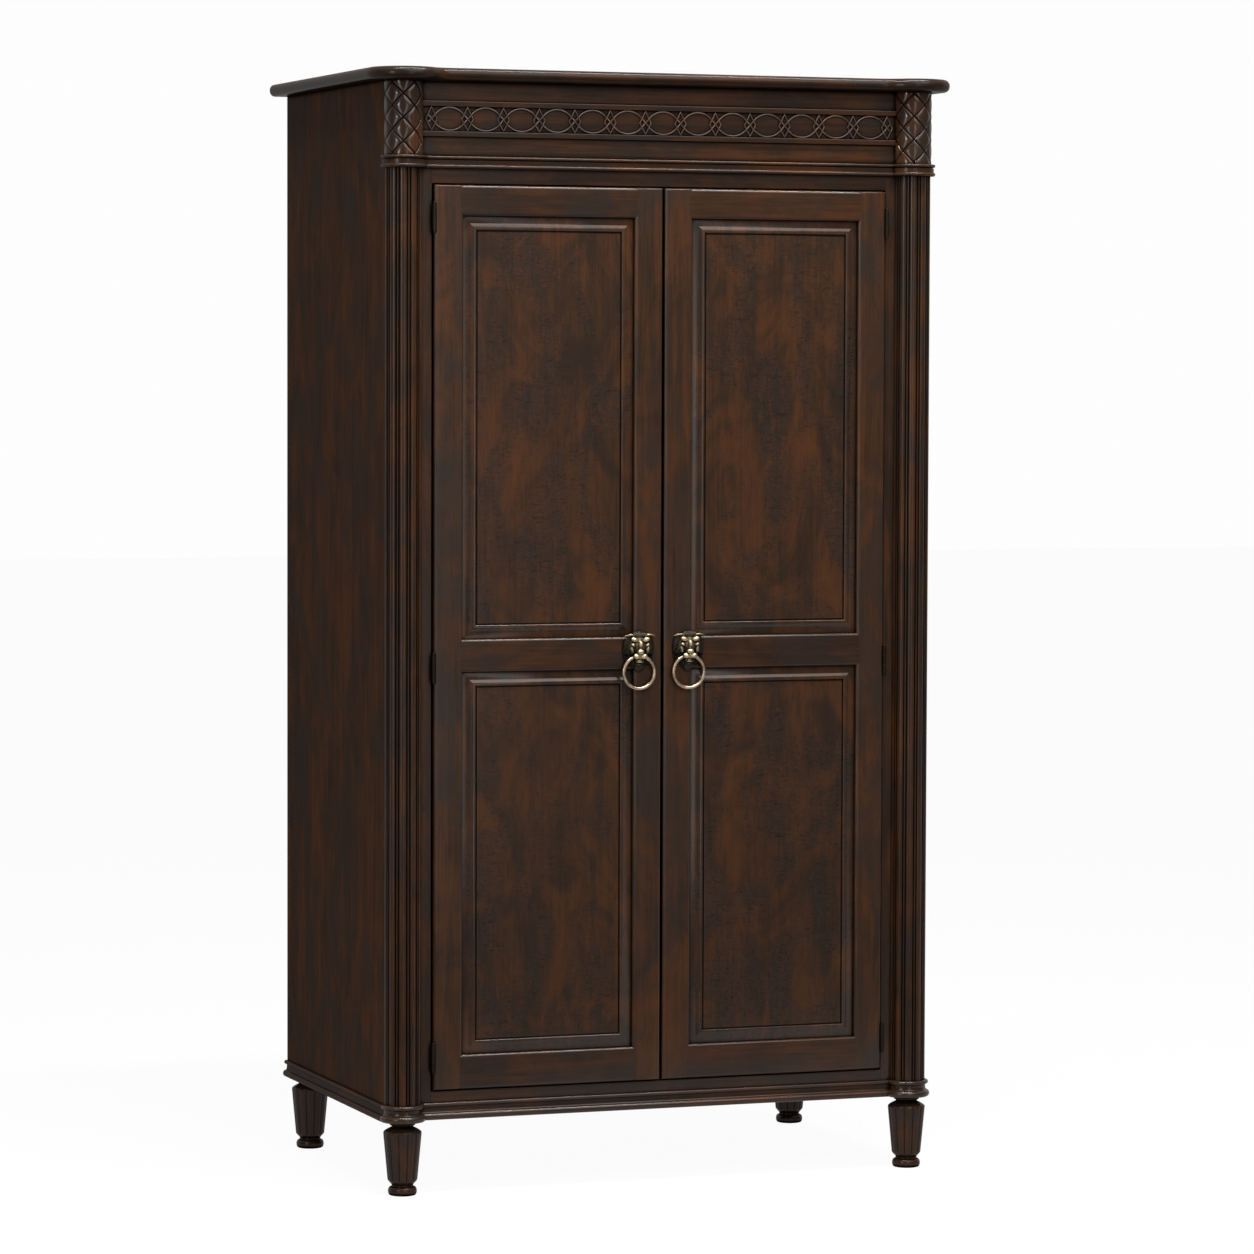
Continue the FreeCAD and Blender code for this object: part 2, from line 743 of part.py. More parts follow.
def member(x0, x1, z0, z1, sides):
    """Stile or rail. Each inner side gets a rounded arris and a groove for the panels."""
    piece = slab(x0, x1, door_front_y, door_rear_y, z0, z1)
    arrises = []
    for edge in piece.Edges:
        box = edge.BoundBox
        if box.YMax > door_front_y + frame_arris_round:
            continue
        middle = box.Center
        if "+x" in sides and abs(middle.x - x1) < frame_arris_round:
            arrises.append(edge)
        if "-x" in sides and abs(middle.x - x0) < frame_arris_round:
            arrises.append(edge)
        if "+z" in sides and abs(middle.z - z1) < frame_arris_round:
            arrises.append(edge)
        if "-z" in sides and abs(middle.z - z0) < frame_arris_round:
            arrises.append(edge)
    piece = piece.makeFillet(frame_arris_round, arrises)
    groove_y0 = door_rear_y - (door_thickness + panel_groove_width) / 2
    groove_y1 = groove_y0 + panel_groove_width
    if "+x" in sides:
        piece = piece.cut(slab(x1 - panel_groove_depth, x1 + overrun, groove_y0, groove_y1,
                               z0 - overrun, z1 + overrun))
    if "-x" in sides:
        piece = piece.cut(slab(x0 - overrun, x0 + panel_groove_depth, groove_y0, groove_y1,
                               z0 - overrun, z1 + overrun))
    if "+z" in sides:
        piece = piece.cut(slab(x0 - overrun, x1 + overrun, groove_y0, groove_y1,
                               z1 - panel_groove_depth, z1 + overrun))
    if "-z" in sides:
        piece = piece.cut(slab(x0 - overrun, x1 + overrun, groove_y0, groove_y1,
                               z0 - overrun, z0 + panel_groove_depth))
    return piece


def frame_box(inset, z0, z1, y0, y1):
    """Board set in from the panel opening by the same distance on four sides."""
    return slab(opening_x0 + inset, opening_x1 - inset, y0, y1, z0 + inset, z1 - inset)


def rounded_box(inset, z0, z1, y0, y1, radius):
    box = frame_box(inset, z0, z1, y0, y1)
    front = [e for e in box.Edges if e.BoundBox.YMax < y0 + radius]
    return box.makeFillet(radius, front)


def rectangle(inset, z0, z1, y):
    a = V(opening_x0 + inset, y, z0 + inset)
    b = V(opening_x1 - inset, y, z0 + inset)
    c = V(opening_x1 - inset, y, z1 - inset)
    d = V(opening_x0 + inset, y, z1 - inset)
    return Part.Wire(polyline([a, b, c, d, a]))


def raised_panel(z0, z1):
    """Panel with a sloping margin, a bead and quirk, and a flat raised field."""
    tongue_y0 = door_rear_y - (door_thickness + panel_groove_width) / 2
    tongue_y1 = tongue_y0 + panel_groove_width
    tongue = panel_groove_depth - panel_play
    bevel_y = tongue_y0 - panel_bevel_rise
    panel = frame_box(-tongue, z0, z1, tongue_y0, tongue_y1)
    slope = Part.makeLoft([rectangle(0, z0, z1, tongue_y0), rectangle(panel_bevel_width, z0, z1, bevel_y)],
                          True, True)
    bead_inner = panel_bevel_width + panel_bead_width
    bead = rounded_box(panel_bevel_width, z0, z1, bevel_y - panel_bead_rise, tongue_y0, panel_bead_round)
    well = frame_box(bead_inner, z0, z1, bevel_y - panel_bead_rise - overrun, bevel_y)
    bead = bead.cut(well)
    field = rounded_box(bead_inner + panel_quirk_width, z0, z1, bevel_y - panel_field_rise, bevel_y,
                        panel_field_round)
    return panel.fuse([slope, bead, field]).removeSplitter()


opening_x0 = -door_outer_x + stile_width
opening_x1 = -door_inner_x - stile_width
blank = door_blank()
hinge_stile = member(-door_outer_x, opening_x0, door_bottom_z, door_top_z, ("+x",)).common(blank)
meeting_stile = member(opening_x1, -door_inner_x, door_bottom_z, door_top_z, ("-x",)).common(blank)


def coped_rail(z0, z1, sides):
    """Rail shaped at its ends to the stiles, with a stub tenon in each groove."""
    rail = member(opening_x0 - panel_groove_depth, opening_x1 + panel_groove_depth, z0, z1, sides)
    return rail.common(blank).cut(hinge_stile).cut(meeting_stile)


lower_opening_z = door_bottom_z + door_bottom_rail_width
upper_opening_z = lock_rail_z + lock_rail_width
upper_opening_top_z = door_top_z - door_top_rail_width
door_pieces = {
    "hinge_stile": hinge_stile,
    "meeting_stile": meeting_stile,
    "top_rail": coped_rail(upper_opening_top_z, door_top_z, ("-z",)),
    "lock_rail": coped_rail(lock_rail_z, upper_opening_z, ("-z", "+z")),
    "bottom_rail": coped_rail(door_bottom_z, lower_opening_z, ("+z",)),
    "lower_panel": raised_panel(lower_opening_z, lock_rail_z),
    "upper_panel": raised_panel(upper_opening_z, upper_opening_top_z),
}


# Hinges: brass butts, their leaves on the door's edge and the frame, with a fast pin

hinge_x = -(door_outer_x + opening_half_width) / 2
hinge_y = door_front_y - hinge_axis_forward
hinge_middles = (door_bottom_z + hinge_end_inset, hinge_middle_z, door_top_z - hinge_end_inset)
leaf_rear_y = front_y + hinge_leaf_depth


def knuckle(z, index):
    """One barrel of a hinge, with the running gap at each end that meets another."""
    length = hinge_length / hinge_knuckle_count
    low = z - hinge_length / 2 + index * length
    high = low + length
    if index > 0:
        low += hinge_knuckle_gap / 2
    if index < hinge_knuckle_count - 1:
        high -= hinge_knuckle_gap / 2
    barrel = Part.makeCylinder(hinge_barrel_radius, high - low, V(hinge_x, hinge_y, low))
    return barrel, low, high


def hinge_leaf(z, inner_x, outer_x, indexes):
    """One leaf: its plate and its knuckles, joined to it by a web."""
    leaf = slab(min(inner_x, outer_x), max(inner_x, outer_x), hinge_y + hinge_barrel_radius, leaf_rear_y,
                z - hinge_length / 2, z + hinge_length / 2)
    for index in indexes:
        barrel, low, high = knuckle(z, index)
        web = slab(min(inner_x, outer_x), max(inner_x, outer_x), hinge_y,
                   hinge_y + hinge_barrel_radius, low, high)
        leaf = leaf.fuse([barrel, web])
    return leaf.removeSplitter()


def pin_bore(z):
    return Part.makeCylinder(hinge_pin_radius + hinge_pin_play, hinge_length + 2 * overrun,
                             V(hinge_x, hinge_y, z - hinge_length / 2 - overrun))


def fast_pin(z):
    """Pin riveted in the frame's knuckles and capped with a turned button at each end."""
    barrel_end = hinge_length / 2
    tip = barrel_end + hinge_tip_height
    pin = Part.makeCylinder(hinge_pin_radius, hinge_length, V(hinge_x, hinge_y, z - barrel_end))
    button = turned(polyline([on_radius(0, barrel_end), on_radius(hinge_barrel_radius, barrel_end),
                              on_radius(hinge_tip_radius, tip), on_radius(0, tip),
                              on_radius(0, barrel_end)]), 0, 0)
    upper = button.copy()
    upper.translate(V(hinge_x, hinge_y, z))
    lower = button.mirror(V(0, 0, 0), V(0, 0, 1))
    lower.translate(V(hinge_x, hinge_y, z))
    return pin.fuse([upper, lower])


door_leaves = []
frame_leaves = []
for middle in hinge_middles:
    door_leaf = hinge_leaf(middle, -door_outer_x, -door_outer_x - hinge_leaf_thickness, (1,))
    door_leaves.append(door_leaf.cut(pin_bore(middle)))
    frame_leaf = hinge_leaf(middle, -opening_half_width, -opening_half_width + hinge_leaf_thickness, (0, 2))
    frame_leaves.append(frame_leaf.fuse(fast_pin(middle)).removeSplitter())
save("frame_hinge_leaves", *(frame_leaves + [mirrored(s) for s in frame_leaves]))


# Lion-mask pulls: cast plate and head with a bored muzzle, and the ring that hangs in it

ring_y = door_front_y - ring_pivot_forward
ring_centre_radius = ring_outer_radius - ring_tube_radius


def mask_plate():
    """Plate behind the head: crown, pointed ears, mane and chin."""
    def at(x, z):
        return V(-pull_x + x, door_front_y, ring_pivot_z + z)

    def half(sign):
        return [(sign * mask_crown_x, mask_ear_z + mask_ear_drop / 2), (sign * mask_ear_x, mask_ear_z),
                (sign * (mask_ear_x - mask_ear_drop), mask_ear_z - mask_ear_drop)]

    right = half(1)
    left = half(-1)
    edges = [arc(at(*left[0]), at(0, mask_top), at(*right[0]))]
    edges += polyline([at(*p) for p in right])
    edges.append(arc(at(*right[2]), at(mask_mane_x, mask_mane_z), at(mask_jowl_x, mask_jowl_z)))
    edges += polyline([at(mask_jowl_x, mask_jowl_z), at(mask_chin_x, mask_chin_z),
                       at(-mask_chin_x, mask_chin_z), at(-mask_jowl_x, mask_jowl_z)])
    edges.append(arc(at(-mask_jowl_x, mask_jowl_z), at(-mask_mane_x, mask_mane_z), at(*left[2])))
    edges += polyline([at(*left[2]), at(*left[1]), at(*left[0])])
    return prism(edges, V(0, -mask_plate_thickness, 0))


def head():
    """Egg-shaped swelling that rises from the plate in tapering steps."""
    bands = []
    for out, forward in flats((0, 0), (1.0, head_depth), 0, head_crown_deg, tip_flat_count):
        ellipse = Part.Ellipse(V(0, 0, 0), head_half_height * out, head_half_width * out)
        wire = Part.Wire(ellipse.toShape())
        wire.rotate(V(0, 0, 0), V(0, 0, 1), 90.0)
        wire.rotate(V(0, 0, 0), V(1, 0, 0), 90.0)
        wire.translate(V(-pull_x, door_front_y - forward, ring_pivot_z + head_z))
        bands.append(wire)
    return Part.makeLoft(bands, True, True)


def boss(x, z, radius, forward):
    """Round stud on the face with a domed end: a brow or the jaw."""
    dome = flats((0, forward), (radius, radius), 0, head_crown_deg, tip_flat_count)
    corners = [(0, 0), (radius, 0)] + dome + [(0, dome[-1][1])]
    stud = turned(polyline([on_radius(u, v) for u, v in corners + corners[:1]]), 0, 0)
    stud.rotate(V(0, 0, 0), V(1, 0, 0), 90.0)
    stud.translate(V(-pull_x + x, door_front_y, ring_pivot_z + z))
    return stud


def pull_mask():
    ends = muzzle_half_width
    muzzle = Part.makeCylinder(muzzle_radius, 2 * ends, V(-pull_x - ends, ring_y, ring_pivot_z), V(1, 0, 0))
    snout = slab(-pull_x - ends, -pull_x + ends, ring_y, door_front_y,
                 ring_pivot_z - muzzle_radius / 2, ring_pivot_z + muzzle_radius)
    nose = slab(-pull_x - nose_half_width, -pull_x + nose_half_width, door_front_y - nose_forward,
                door_front_y, ring_pivot_z, ring_pivot_z + nose_top_z)
    solid = mask_plate().fuse([head(), muzzle, snout, nose, boss(0, -jaw_drop, jaw_radius, jaw_forward),
                               boss(-brow_x, brow_z, brow_radius, brow_forward),
                               boss(brow_x, brow_z, brow_radius, brow_forward)])
    behind = slab(-pull_x - mask_mane_x - overrun, -pull_x + mask_mane_x + overrun,
                  door_front_y, door_front_y + overrun + ring_outer_radius,
                  ring_pivot_z - mask_top - overrun, ring_pivot_z + mask_top + overrun)
    ring_hole_radius = ring_centre_radius - ring_tube_radius
    lowest = ring_centre_radius - math.sqrt(ring_hole_radius ** 2 - ends ** 2)
    bore = lowest + mouth_bore_play
    mouth = Part.makeCylinder(bore, 2 * (mask_mane_x + overrun),
                              V(-pull_x - mask_mane_x - overrun, ring_y, ring_pivot_z), V(1, 0, 0))
    return solid.cut([behind, mouth]).removeSplitter()


def ring():
    """Ring of wire worked to flats, hung upright from the mouth."""
    corners = flats((ring_centre_radius, 0), (ring_tube_radius, ring_tube_radius), 0, 360.0, 2 * bead_flat_count)
    hoop = turned(polyline([on_radius(u, v) for u, v in corners]), 0, 0)
    hoop.rotate(V(0, 0, 0), V(1, 0, 0), 90.0)
    hoop.translate(V(-pull_x, ring_y, ring_pivot_z - ring_centre_radius))
    return hoop


door_pieces["hinge_leaves"] = Part.makeCompound(door_leaves)
door_pieces["pull_mask"] = pull_mask()
door_pieces["pull_ring"] = ring()


# Catches under the top stop, and their strike plates on the doors

stop_bottom_z = opening_top_z - stop_height
strike_top_z = stop_bottom_z - strike_margin
door_pieces["strike_plate"] = slab(-catch_x - strike_width / 2, -catch_x + strike_width / 2,
                                   door_rear_y, door_rear_y + strike_thickness,
                                   strike_top_z - strike_height, strike_top_z)
catch_front_y = door_rear_y + strike_thickness + catch_clearance
left_catch = slab(-catch_x - catch_width / 2, -catch_x + catch_width / 2,
                  catch_front_y, catch_front_y + catch_depth,
                  stop_bottom_z - catch_height, stop_bottom_z)
save("magnet_catches", *pair(left_catch))

for name, piece in door_pieces.items():
    save("left_door_" + name, piece)
    save("right_door_" + name, mirrored(piece))

print("front plane", front_y, "back", back_y, "hinge axis", hinge_x, hinge_y)
print("ring pivot", -pull_x, ring_y, ring_pivot_z, "rod", rod_y, rod_z, "rear foot", rear_foot_y)
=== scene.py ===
"""A dark walnut wardrobe with a carved frieze, raised-panel doors and lion-mask ring pulls.

Sizes are metres. The doors face -Y, the left door is at -X, and Z is up from the floor.
"""

import math

import bmesh
import bpy
from mathutils import Matrix, Vector


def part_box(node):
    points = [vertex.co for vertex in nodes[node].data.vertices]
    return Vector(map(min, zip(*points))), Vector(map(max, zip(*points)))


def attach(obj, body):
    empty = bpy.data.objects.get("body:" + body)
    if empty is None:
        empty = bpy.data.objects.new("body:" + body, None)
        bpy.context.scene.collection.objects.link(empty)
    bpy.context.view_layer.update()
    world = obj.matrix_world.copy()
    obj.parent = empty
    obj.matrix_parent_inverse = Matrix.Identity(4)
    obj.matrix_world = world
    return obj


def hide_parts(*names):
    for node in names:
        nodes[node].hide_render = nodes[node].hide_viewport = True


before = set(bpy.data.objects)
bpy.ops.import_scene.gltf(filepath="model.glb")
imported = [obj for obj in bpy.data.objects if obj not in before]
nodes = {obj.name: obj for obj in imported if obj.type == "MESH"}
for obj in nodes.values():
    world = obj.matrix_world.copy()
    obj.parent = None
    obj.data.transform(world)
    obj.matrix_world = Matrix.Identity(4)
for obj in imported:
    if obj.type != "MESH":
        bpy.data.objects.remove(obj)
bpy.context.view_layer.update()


# Carcass boards ---------------------------------------------------------------
# Flat boards of stained walnut under satin lacquer: two sides, two narrow front stiles, the
# rails over and under the doors, and the frieze board. They are dowelled and glued, and
# every arris is eased by hand.

class Signal:
    """A number, vector or colour that varies over a surface. Sums of numbers add nodes."""

    def __init__(self, finish, socket):
        self.finish = finish
        self.socket = socket

    def maths(self, operation, *values):
        return self.finish.add("Math", {"operation": operation}, dict(enumerate(values)))

    def __add__(self, other):
        return self.maths("ADD", self, other)

    def __sub__(self, other):
        return self.maths("SUBTRACT", self, other)

    def __rsub__(self, other):
        return self.maths("SUBTRACT", other, self)

    def __mul__(self, other):
        return self.maths("MULTIPLY", self, other)

    def __abs__(self):
        return self.maths("ABSOLUTE", self)

    __radd__ = __add__
    __rmul__ = __mul__


class Finish:
    """A material or the surround under construction: its nodes and the shader they feed."""

    def __init__(self, owner, shader="Principled BSDF"):
        owner.use_nodes = True
        self.owner = owner
        self.tree = owner.node_tree
        self.shader = self.tree.nodes[shader]

    def feed(self, socket, value):
        if isinstance(value, Signal):
            self.tree.links.new(value.socket, socket)
        elif socket.type == "RGBA":
            socket.default_value = (*value, 1.0)
        else:
            socket.default_value = value

    def add(self, kind, settings=None, sockets=None, output=0):
        """A node with its settings made first, then its sockets filled, as the signal it gives."""
        node = self.tree.nodes.new("ShaderNode" + kind)
        for key, value in (settings or {}).items():
            setattr(node, key, value)
        for key, value in (sockets or {}).items():
            self.feed(node.inputs[key], value)
        return Signal(self, node.outputs[output])

    def spot(self):
        """Place on the object, on which every pattern is drawn."""
        return self.add("TexCoord", output="Object")

    def axis(self, index):
        return self.add("SeparateXYZ", None, {"Vector": self.spot()}, index)

    def clouds(self, stretch, shift=0.0, detail=3.0, roughness=0.5, distortion=0.0, tilt=0.0):
        """Soft noise. Stretch is its fineness along X, Y and Z, and tilt leans it sideways."""
        place = self.add("Mapping", None, {"Vector": self.spot(), "Scale": stretch,
                                           "Location": (shift, shift * 0.7, shift * 1.3),
                                           "Rotation": (0.0, math.radians(tilt), 0.0)})
        return self.add("TexNoise", None, {"Vector": place, "Scale": 1.0, "Detail": detail,
                                           "Roughness": roughness, "Distortion": distortion})

    def fade(self, value, low, high, start=0.0, end=1.0):
        return self.add("MapRange", {"interpolation_type": "SMOOTHSTEP"},
                        {"Value": value, "From Min": low, "From Max": high, "To Min": start, "To Max": end})

    def tint(self, amount, under, over):
        return self.add("Mix", {"data_type": "RGBA"}, {"Factor": amount, 6: under, 7: over}, output=2)

    def bump(self, height, distance, strength):
        return self.add("Bump", None, {"Height": height, "Distance": distance, "Strength": strength})

    def coat(self, **values):
        """Fills the shader's sockets, named in lower case, and gives back what wears it."""
        names = {socket.name.lower().replace(" ", "_"): socket for socket in self.shader.inputs}
        for key, value in values.items():
            self.feed(names[key], value)
        return self.owner


umber = (0.0210, 0.0118, 0.0070)
russet = (0.0600, 0.0218, 0.0076)
smoke = (0.0215, 0.0155, 0.0120)
# Near-black for pores and ripple lines, and for the shade painted into recesses.
grain_and_shade_dark = (0.0030, 0.0018, 0.0012)
shade_reach = 0.010


def recess_shade(finish, low=0.30, high=0.95):
    """One on open surfaces, falling to nothing in corners and recesses, where shade is painted into the colour.
    """
    open_sky = finish.add("AmbientOcclusion", {"samples": 8}, {"Distance": shade_reach}, output=1)
    return finish.fade(open_sky, low, high)


def along(grain, length, width):
    """Fineness of a pattern, by its length with the grain and its width across it."""
    return [length if axis == grain else width for axis in "XYZ"]


def walnut(name, grain, shift=0.0, figure=0.0, warmth=0.5, gloss=0.55, rough=0.20, shade_range=(0.30, 0.95),
           hollow=None, tone=1.0):
    """Stained walnut under lacquer, with its grain along one axis. Figure adds a veneer's curl.

    Shade is painted darker into corners and recesses, and the coat is thinned there. Hollow also paints shade
    between two radii about the corner columns' axes."""
    wood = Finish(bpy.data.materials.new(name))
    dark, warm_brown, grey = ([part * tone for part in stain] for stain in (umber, russet, smoke))
    fibre = wood.clouds(along(grain, 5.0, 240.0), shift, 4.0, 0.65, 0.8)
    streak = wood.clouds(along(grain, 2.2, 46.0), shift, 5.0, 0.62, 1.0)
    cloud = wood.clouds(along(grain, 4.6, 9.5), shift, 6.0, 0.62, 1.3)
    patch = wood.clouds(along(grain, 3.2, 6.5), shift + 5.0, 6.0, 0.62, 1.6)
    if figure:
        warm = cloud * 0.62 + streak * 0.22 + fibre * 0.16
    else:
        warm = cloud * 0.42 + streak * 0.34 + fibre * 0.24
    middle = 0.51 + (0.5 - warmth) * 0.16
    colour = wood.tint(wood.fade(warm, middle - 0.11, middle + 0.12), dark, warm_brown)
    colour = wood.tint(wood.fade(patch, 0.45, 0.62) * 0.68, colour, grey)
    if figure:
        ripple = wood.clouds((38.0, 38.0, 240.0), shift, 3.0, 0.6, 2.6, 8.0)
        feather = wood.clouds((95.0, 95.0, 26.0), shift, 4.0, 0.62, 2.2, -31.0)
        plume = wood.clouds((90.0, 90.0, 24.0), shift + 3.0, 4.0, 0.62, 2.2, 36.0)
        glow = wood.fade(feather, 0.50, 0.68) * wood.fade(cloud, 0.42, 0.60)
        glow = glow + wood.fade(plume, 0.50, 0.68) * wood.fade(patch, 0.44, 0.58)
        colour = wood.tint(glow * 0.5 * figure, colour, warm_brown)
        line = wood.fade(ripple, 0.52, 0.63) * wood.fade(patch, 0.44, 0.56)
        colour = wood.tint(line * 0.55 * figure, colour, grain_and_shade_dark)
    pores = wood.clouds(along(grain, 18.0, 620.0), shift, 2.0, 0.6, 0.4)
    colour = wood.tint(wood.fade(pores, 0.56, 0.72) * 0.35, colour, grain_and_shade_dark)
    unshaded = recess_shade(wood, *shade_range)
    # Painted shade in the grooves of the columns and capitals: a dark band between two radii about each
    # column's axis.
    if hollow:
        aside = abs(wood.axis(0)) + column_x
        ahead_of = wood.axis(1) - front_y
        squares = aside * aside + ahead_of * ahead_of
        unshaded = unshaded * wood.fade(squares.maths("SQRT", squares), *hollow)
    # Painted shade: corners and recesses are tinted toward near-black, and the coat's weight falls there too,
    # so they reflect nothing.
    colour = wood.tint(unshaded, grain_and_shade_dark, colour)
    return wood.coat(base_color=colour, roughness=wood.fade(cloud, 0.3, 0.7, 0.55, 0.65),
                     specular_ior_level=0.0, coat_weight=unshaded * gloss, coat_roughness=rough, coat_ior=1.5,
                     normal=wood.bump(pores * 0.5 + fibre * 0.5, 0.0003, 0.22))


upright_walnut = walnut("walnut_upright", "Z")
side_walnut = walnut("walnut_side", "Z", 9.3, warmth=0.56, gloss=0.04, rough=0.32, tone=1.3)
level_walnut = walnut("walnut_level", "X", 3.1)

board_ease = 0.0006


def placed(name, mesh, material=None):
    """Puts a finished bmesh into the scene."""
    data = bpy.data.meshes.new(name)
    mesh.to_mesh(data)
    mesh.free()
    if material:
        data.materials.append(material)
    made = bpy.data.objects.new(name, data)
    bpy.context.collection.objects.link(made)
    return made


def piece(name, mesh, material, *replaced, body="carcass", slot="walnut", smooth_below=38.0):
    """Turns a finished bmesh into a piece of the wardrobe that rides on a body."""
    bmesh.ops.remove_doubles(mesh, verts=mesh.verts, dist=2e-6)
    bmesh.ops.recalc_face_normals(mesh, faces=mesh.faces)
    made = placed(name, mesh, material)
    made.data.shade_smooth()
    made.data.set_sharp_from_angle(angle=math.radians(smooth_below))
    made.modifiers.new("flat_normals", "WEIGHTED_NORMAL").keep_sharp = True
    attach(made, body)
    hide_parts(*replaced)


def block(mesh, low, high):
    """Adds a square board between two corners and gives its edges."""
    size = Vector(high) - Vector(low)
    middle = (Vector(high) + Vector(low)) / 2
    place = Matrix.Translation(middle) @ Matrix.Diagonal((*size, 1.0))
    corners = bmesh.ops.create_cube(mesh, size=1.0, matrix=place)["verts"]
    return list({edge for corner in corners for edge in corner.link_edges})


def round_over(mesh, edges, radius, segments=3):
    bmesh.ops.bevel(mesh, geom=edges, offset=radius, segments=segments, profile=0.5,
                    affect="EDGES", material=-1, clamp_overlap=True)


def board(name, low, high, material, replaced, slot="walnut", ease=board_ease):
    mesh = bmesh.new()
    round_over(mesh, block(mesh, low, high), ease, 2)
    piece(name, mesh, material, replaced, slot=slot)


# The frieze's painted shade spreads further, as under the overhanging top board.
frieze_walnut = walnut("walnut_frieze", "X", 5.7, shade_range=(0.55, 1.0))
for node, wood in (("left_side_panel", side_walnut), ("right_side_panel", side_walnut),
                   ("left_front_stile", upright_walnut), ("right_front_stile", upright_walnut),
                   ("top_rail", level_walnut), ("bottom_rail", level_walnut),
                   ("frieze_board", frieze_walnut)):
    board(node + "_board", *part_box(node), wood, node)

front_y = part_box("top_rail")[0].y
back_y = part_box("back_panel")[1].y


# Top board --------------------------------------------------------------------
# A thick walnut board with a full bullnose. Its front corners swell into rounds over the
# columns. Each round is a separate block, glued on at a fine joint line.

class Outline:
    """A line drawn from a corner by straight runs and round turns, then filled or swept."""

    def __init__(self, start, axis=(0, 0, 1)):
        self.mesh = bmesh.new()
        self.axis = axis
        self.tip = self.mesh.verts.new(start)

    def run(self, *corner):
        """A straight run to a corner."""
        new = bmesh.ops.extrude_vert_indiv(self.mesh, verts=[self.tip])["verts"][0]
        new.co = corner
        self.tip = new
        return self

    def turn(self, centre, degrees, steps, widen=(1, 1, 1)):
        """A round turn about a centre, which may be widened into part of an ellipse."""
        before = set(self.mesh.verts)
        last = bmesh.ops.spin(self.mesh, geom=[self.tip], cent=centre, axis=self.axis,
                              angle=math.radians(degrees), steps=steps)["geom_last"]
        fresh = [vert for vert in self.mesh.verts if vert not in before]
        bmesh.ops.scale(self.mesh, vec=widen, space=Matrix.Translation(-Vector(centre)), verts=fresh)
        self.tip = last[0]
        return self

    def trace(self, place, *corners):
        """Straight runs through corners, each set by a function."""
        for corner in corners:
            self.run(*place(*corner))
        return self

    def fill(self):
        """Closes the line into a face."""
        bmesh.ops.remove_doubles(self.mesh, verts=self.mesh.verts, dist=1e-7)
        ends = [vert for vert in self.mesh.verts if len(vert.link_edges) == 1]
        if ends:
            bmesh.ops.contextual_create(self.mesh, geom=ends)
        return bmesh.ops.contextual_create(self.mesh, geom=self.mesh.edges[:])["faces"]

    def push(self, *offset):
        """Closes the line and pushes it into a solid."""
        raised = bmesh.ops.extrude_face_region(self.mesh, geom=self.fill())["geom"]
        bmesh.ops.translate(self.mesh, vec=offset, verts=verts_of(raised))
        return self.mesh

    def lathe(self, centre, axis, steps):
        """Turns the line all the way round an axis."""
        bmesh.ops.spin(self.mesh, geom=self.mesh.verts[:] + self.mesh.edges[:], cent=centre, axis=axis,
                       angle=2 * math.pi, steps=steps, use_merge=True)
        return self.mesh


def verts_of(parts):
    return [part for part in parts if isinstance(part, bmesh.types.BMVert)]


def saw(mesh, point, normal):
    """Cuts the mesh along a plane, drops what the normal points to, and closes the cut."""
    bmesh.ops.bisect_plane(mesh, geom=mesh.verts[:] + mesh.edges[:] + mesh.faces[:], dist=1e-7,
                           plane_co=point, plane_no=normal, clear_outer=True)
    bmesh.ops.holes_fill(mesh, edges=[edge for edge in mesh.edges if edge.is_boundary], sides=0)
    return mesh


board_low, board_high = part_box("top_board")
# The top board's walnut is a darker copy: painted shade on its bullnose, which the overhead strip lights
# strongly.
top_walnut_painted_shade = walnut("walnut_top", "X", 3.1, warmth=0.44, gloss=0.22, rough=0.22, tone=0.62)
column_low, column_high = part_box("left_column")
column_radius = (column_high.x - column_low.x) / 2
column_x = column_low.x + column_radius
ear_radius = column_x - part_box("left_top_corner")[0].x
ear_joint_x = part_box("left_top_corner")[1].x
board_lead = front_y - board_low.y
blend_radius = 0.050
nose_radius = 0.011
ear_joint_gap = 0.0003

drop = board_lead + blend_radius
across = math.sqrt((ear_radius + blend_radius) ** 2 - drop ** 2)
meet = math.degrees(math.atan2(-drop, across))
plan = Outline((column_x - ear_radius, back_y, board_low.z))
plan.run(column_x - ear_radius, front_y, board_low.z)
plan.turn((column_x, front_y, board_low.z), meet + 180.0, 26)
plan.turn((column_x + across, front_y - drop, board_low.z), -(90.0 + meet), 10)
plan.run(0, board_low.y, board_low.z)
bmesh.ops.mirror(plan.mesh, geom=plan.mesh.verts[:] + plan.mesh.edges[:], merge_dist=1e-6, axis="X")
whole_board = plan.push(0, 0, board_high.z - board_low.z)
rim = [edge for edge in whole_board.edges
       if abs(edge.verts[0].co.z - edge.verts[1].co.z) < 1e-6
       and min(vert.co.y for vert in edge.verts) < back_y - 1e-4]
round_over(whole_board, rim, nose_radius, 7)

left_ear = saw(whole_board.copy(), (ear_joint_x - ear_joint_gap, 0, 0), (1, 0, 0))
saw(left_ear, (0, front_y - ear_joint_gap, 0), (0, 1, 0))
right_ear = left_ear.copy()
bmesh.ops.scale(right_ear, vec=(-1, 1, 1), verts=right_ear.verts)
main_board = saw(whole_board.copy(), (0, front_y, 0), (0, -1, 0))
front_lip = saw(whole_board.copy(), (ear_joint_x, 0, 0), (-1, 0, 0))
saw(front_lip, (-ear_joint_x, 0, 0), (1, 0, 0))
saw(front_lip, (0, front_y, 0), (0, 1, 0))
whole_board.free()
piece("top_corner_left", left_ear, top_walnut_painted_shade, "left_top_corner")
piece("top_corner_right", right_ear, top_walnut_painted_shade, "right_top_corner")
piece("top_board_main", main_board, top_walnut_painted_shade, "top_board")
piece("top_board_lip", front_lip, top_walnut_painted_shade, "top_board")


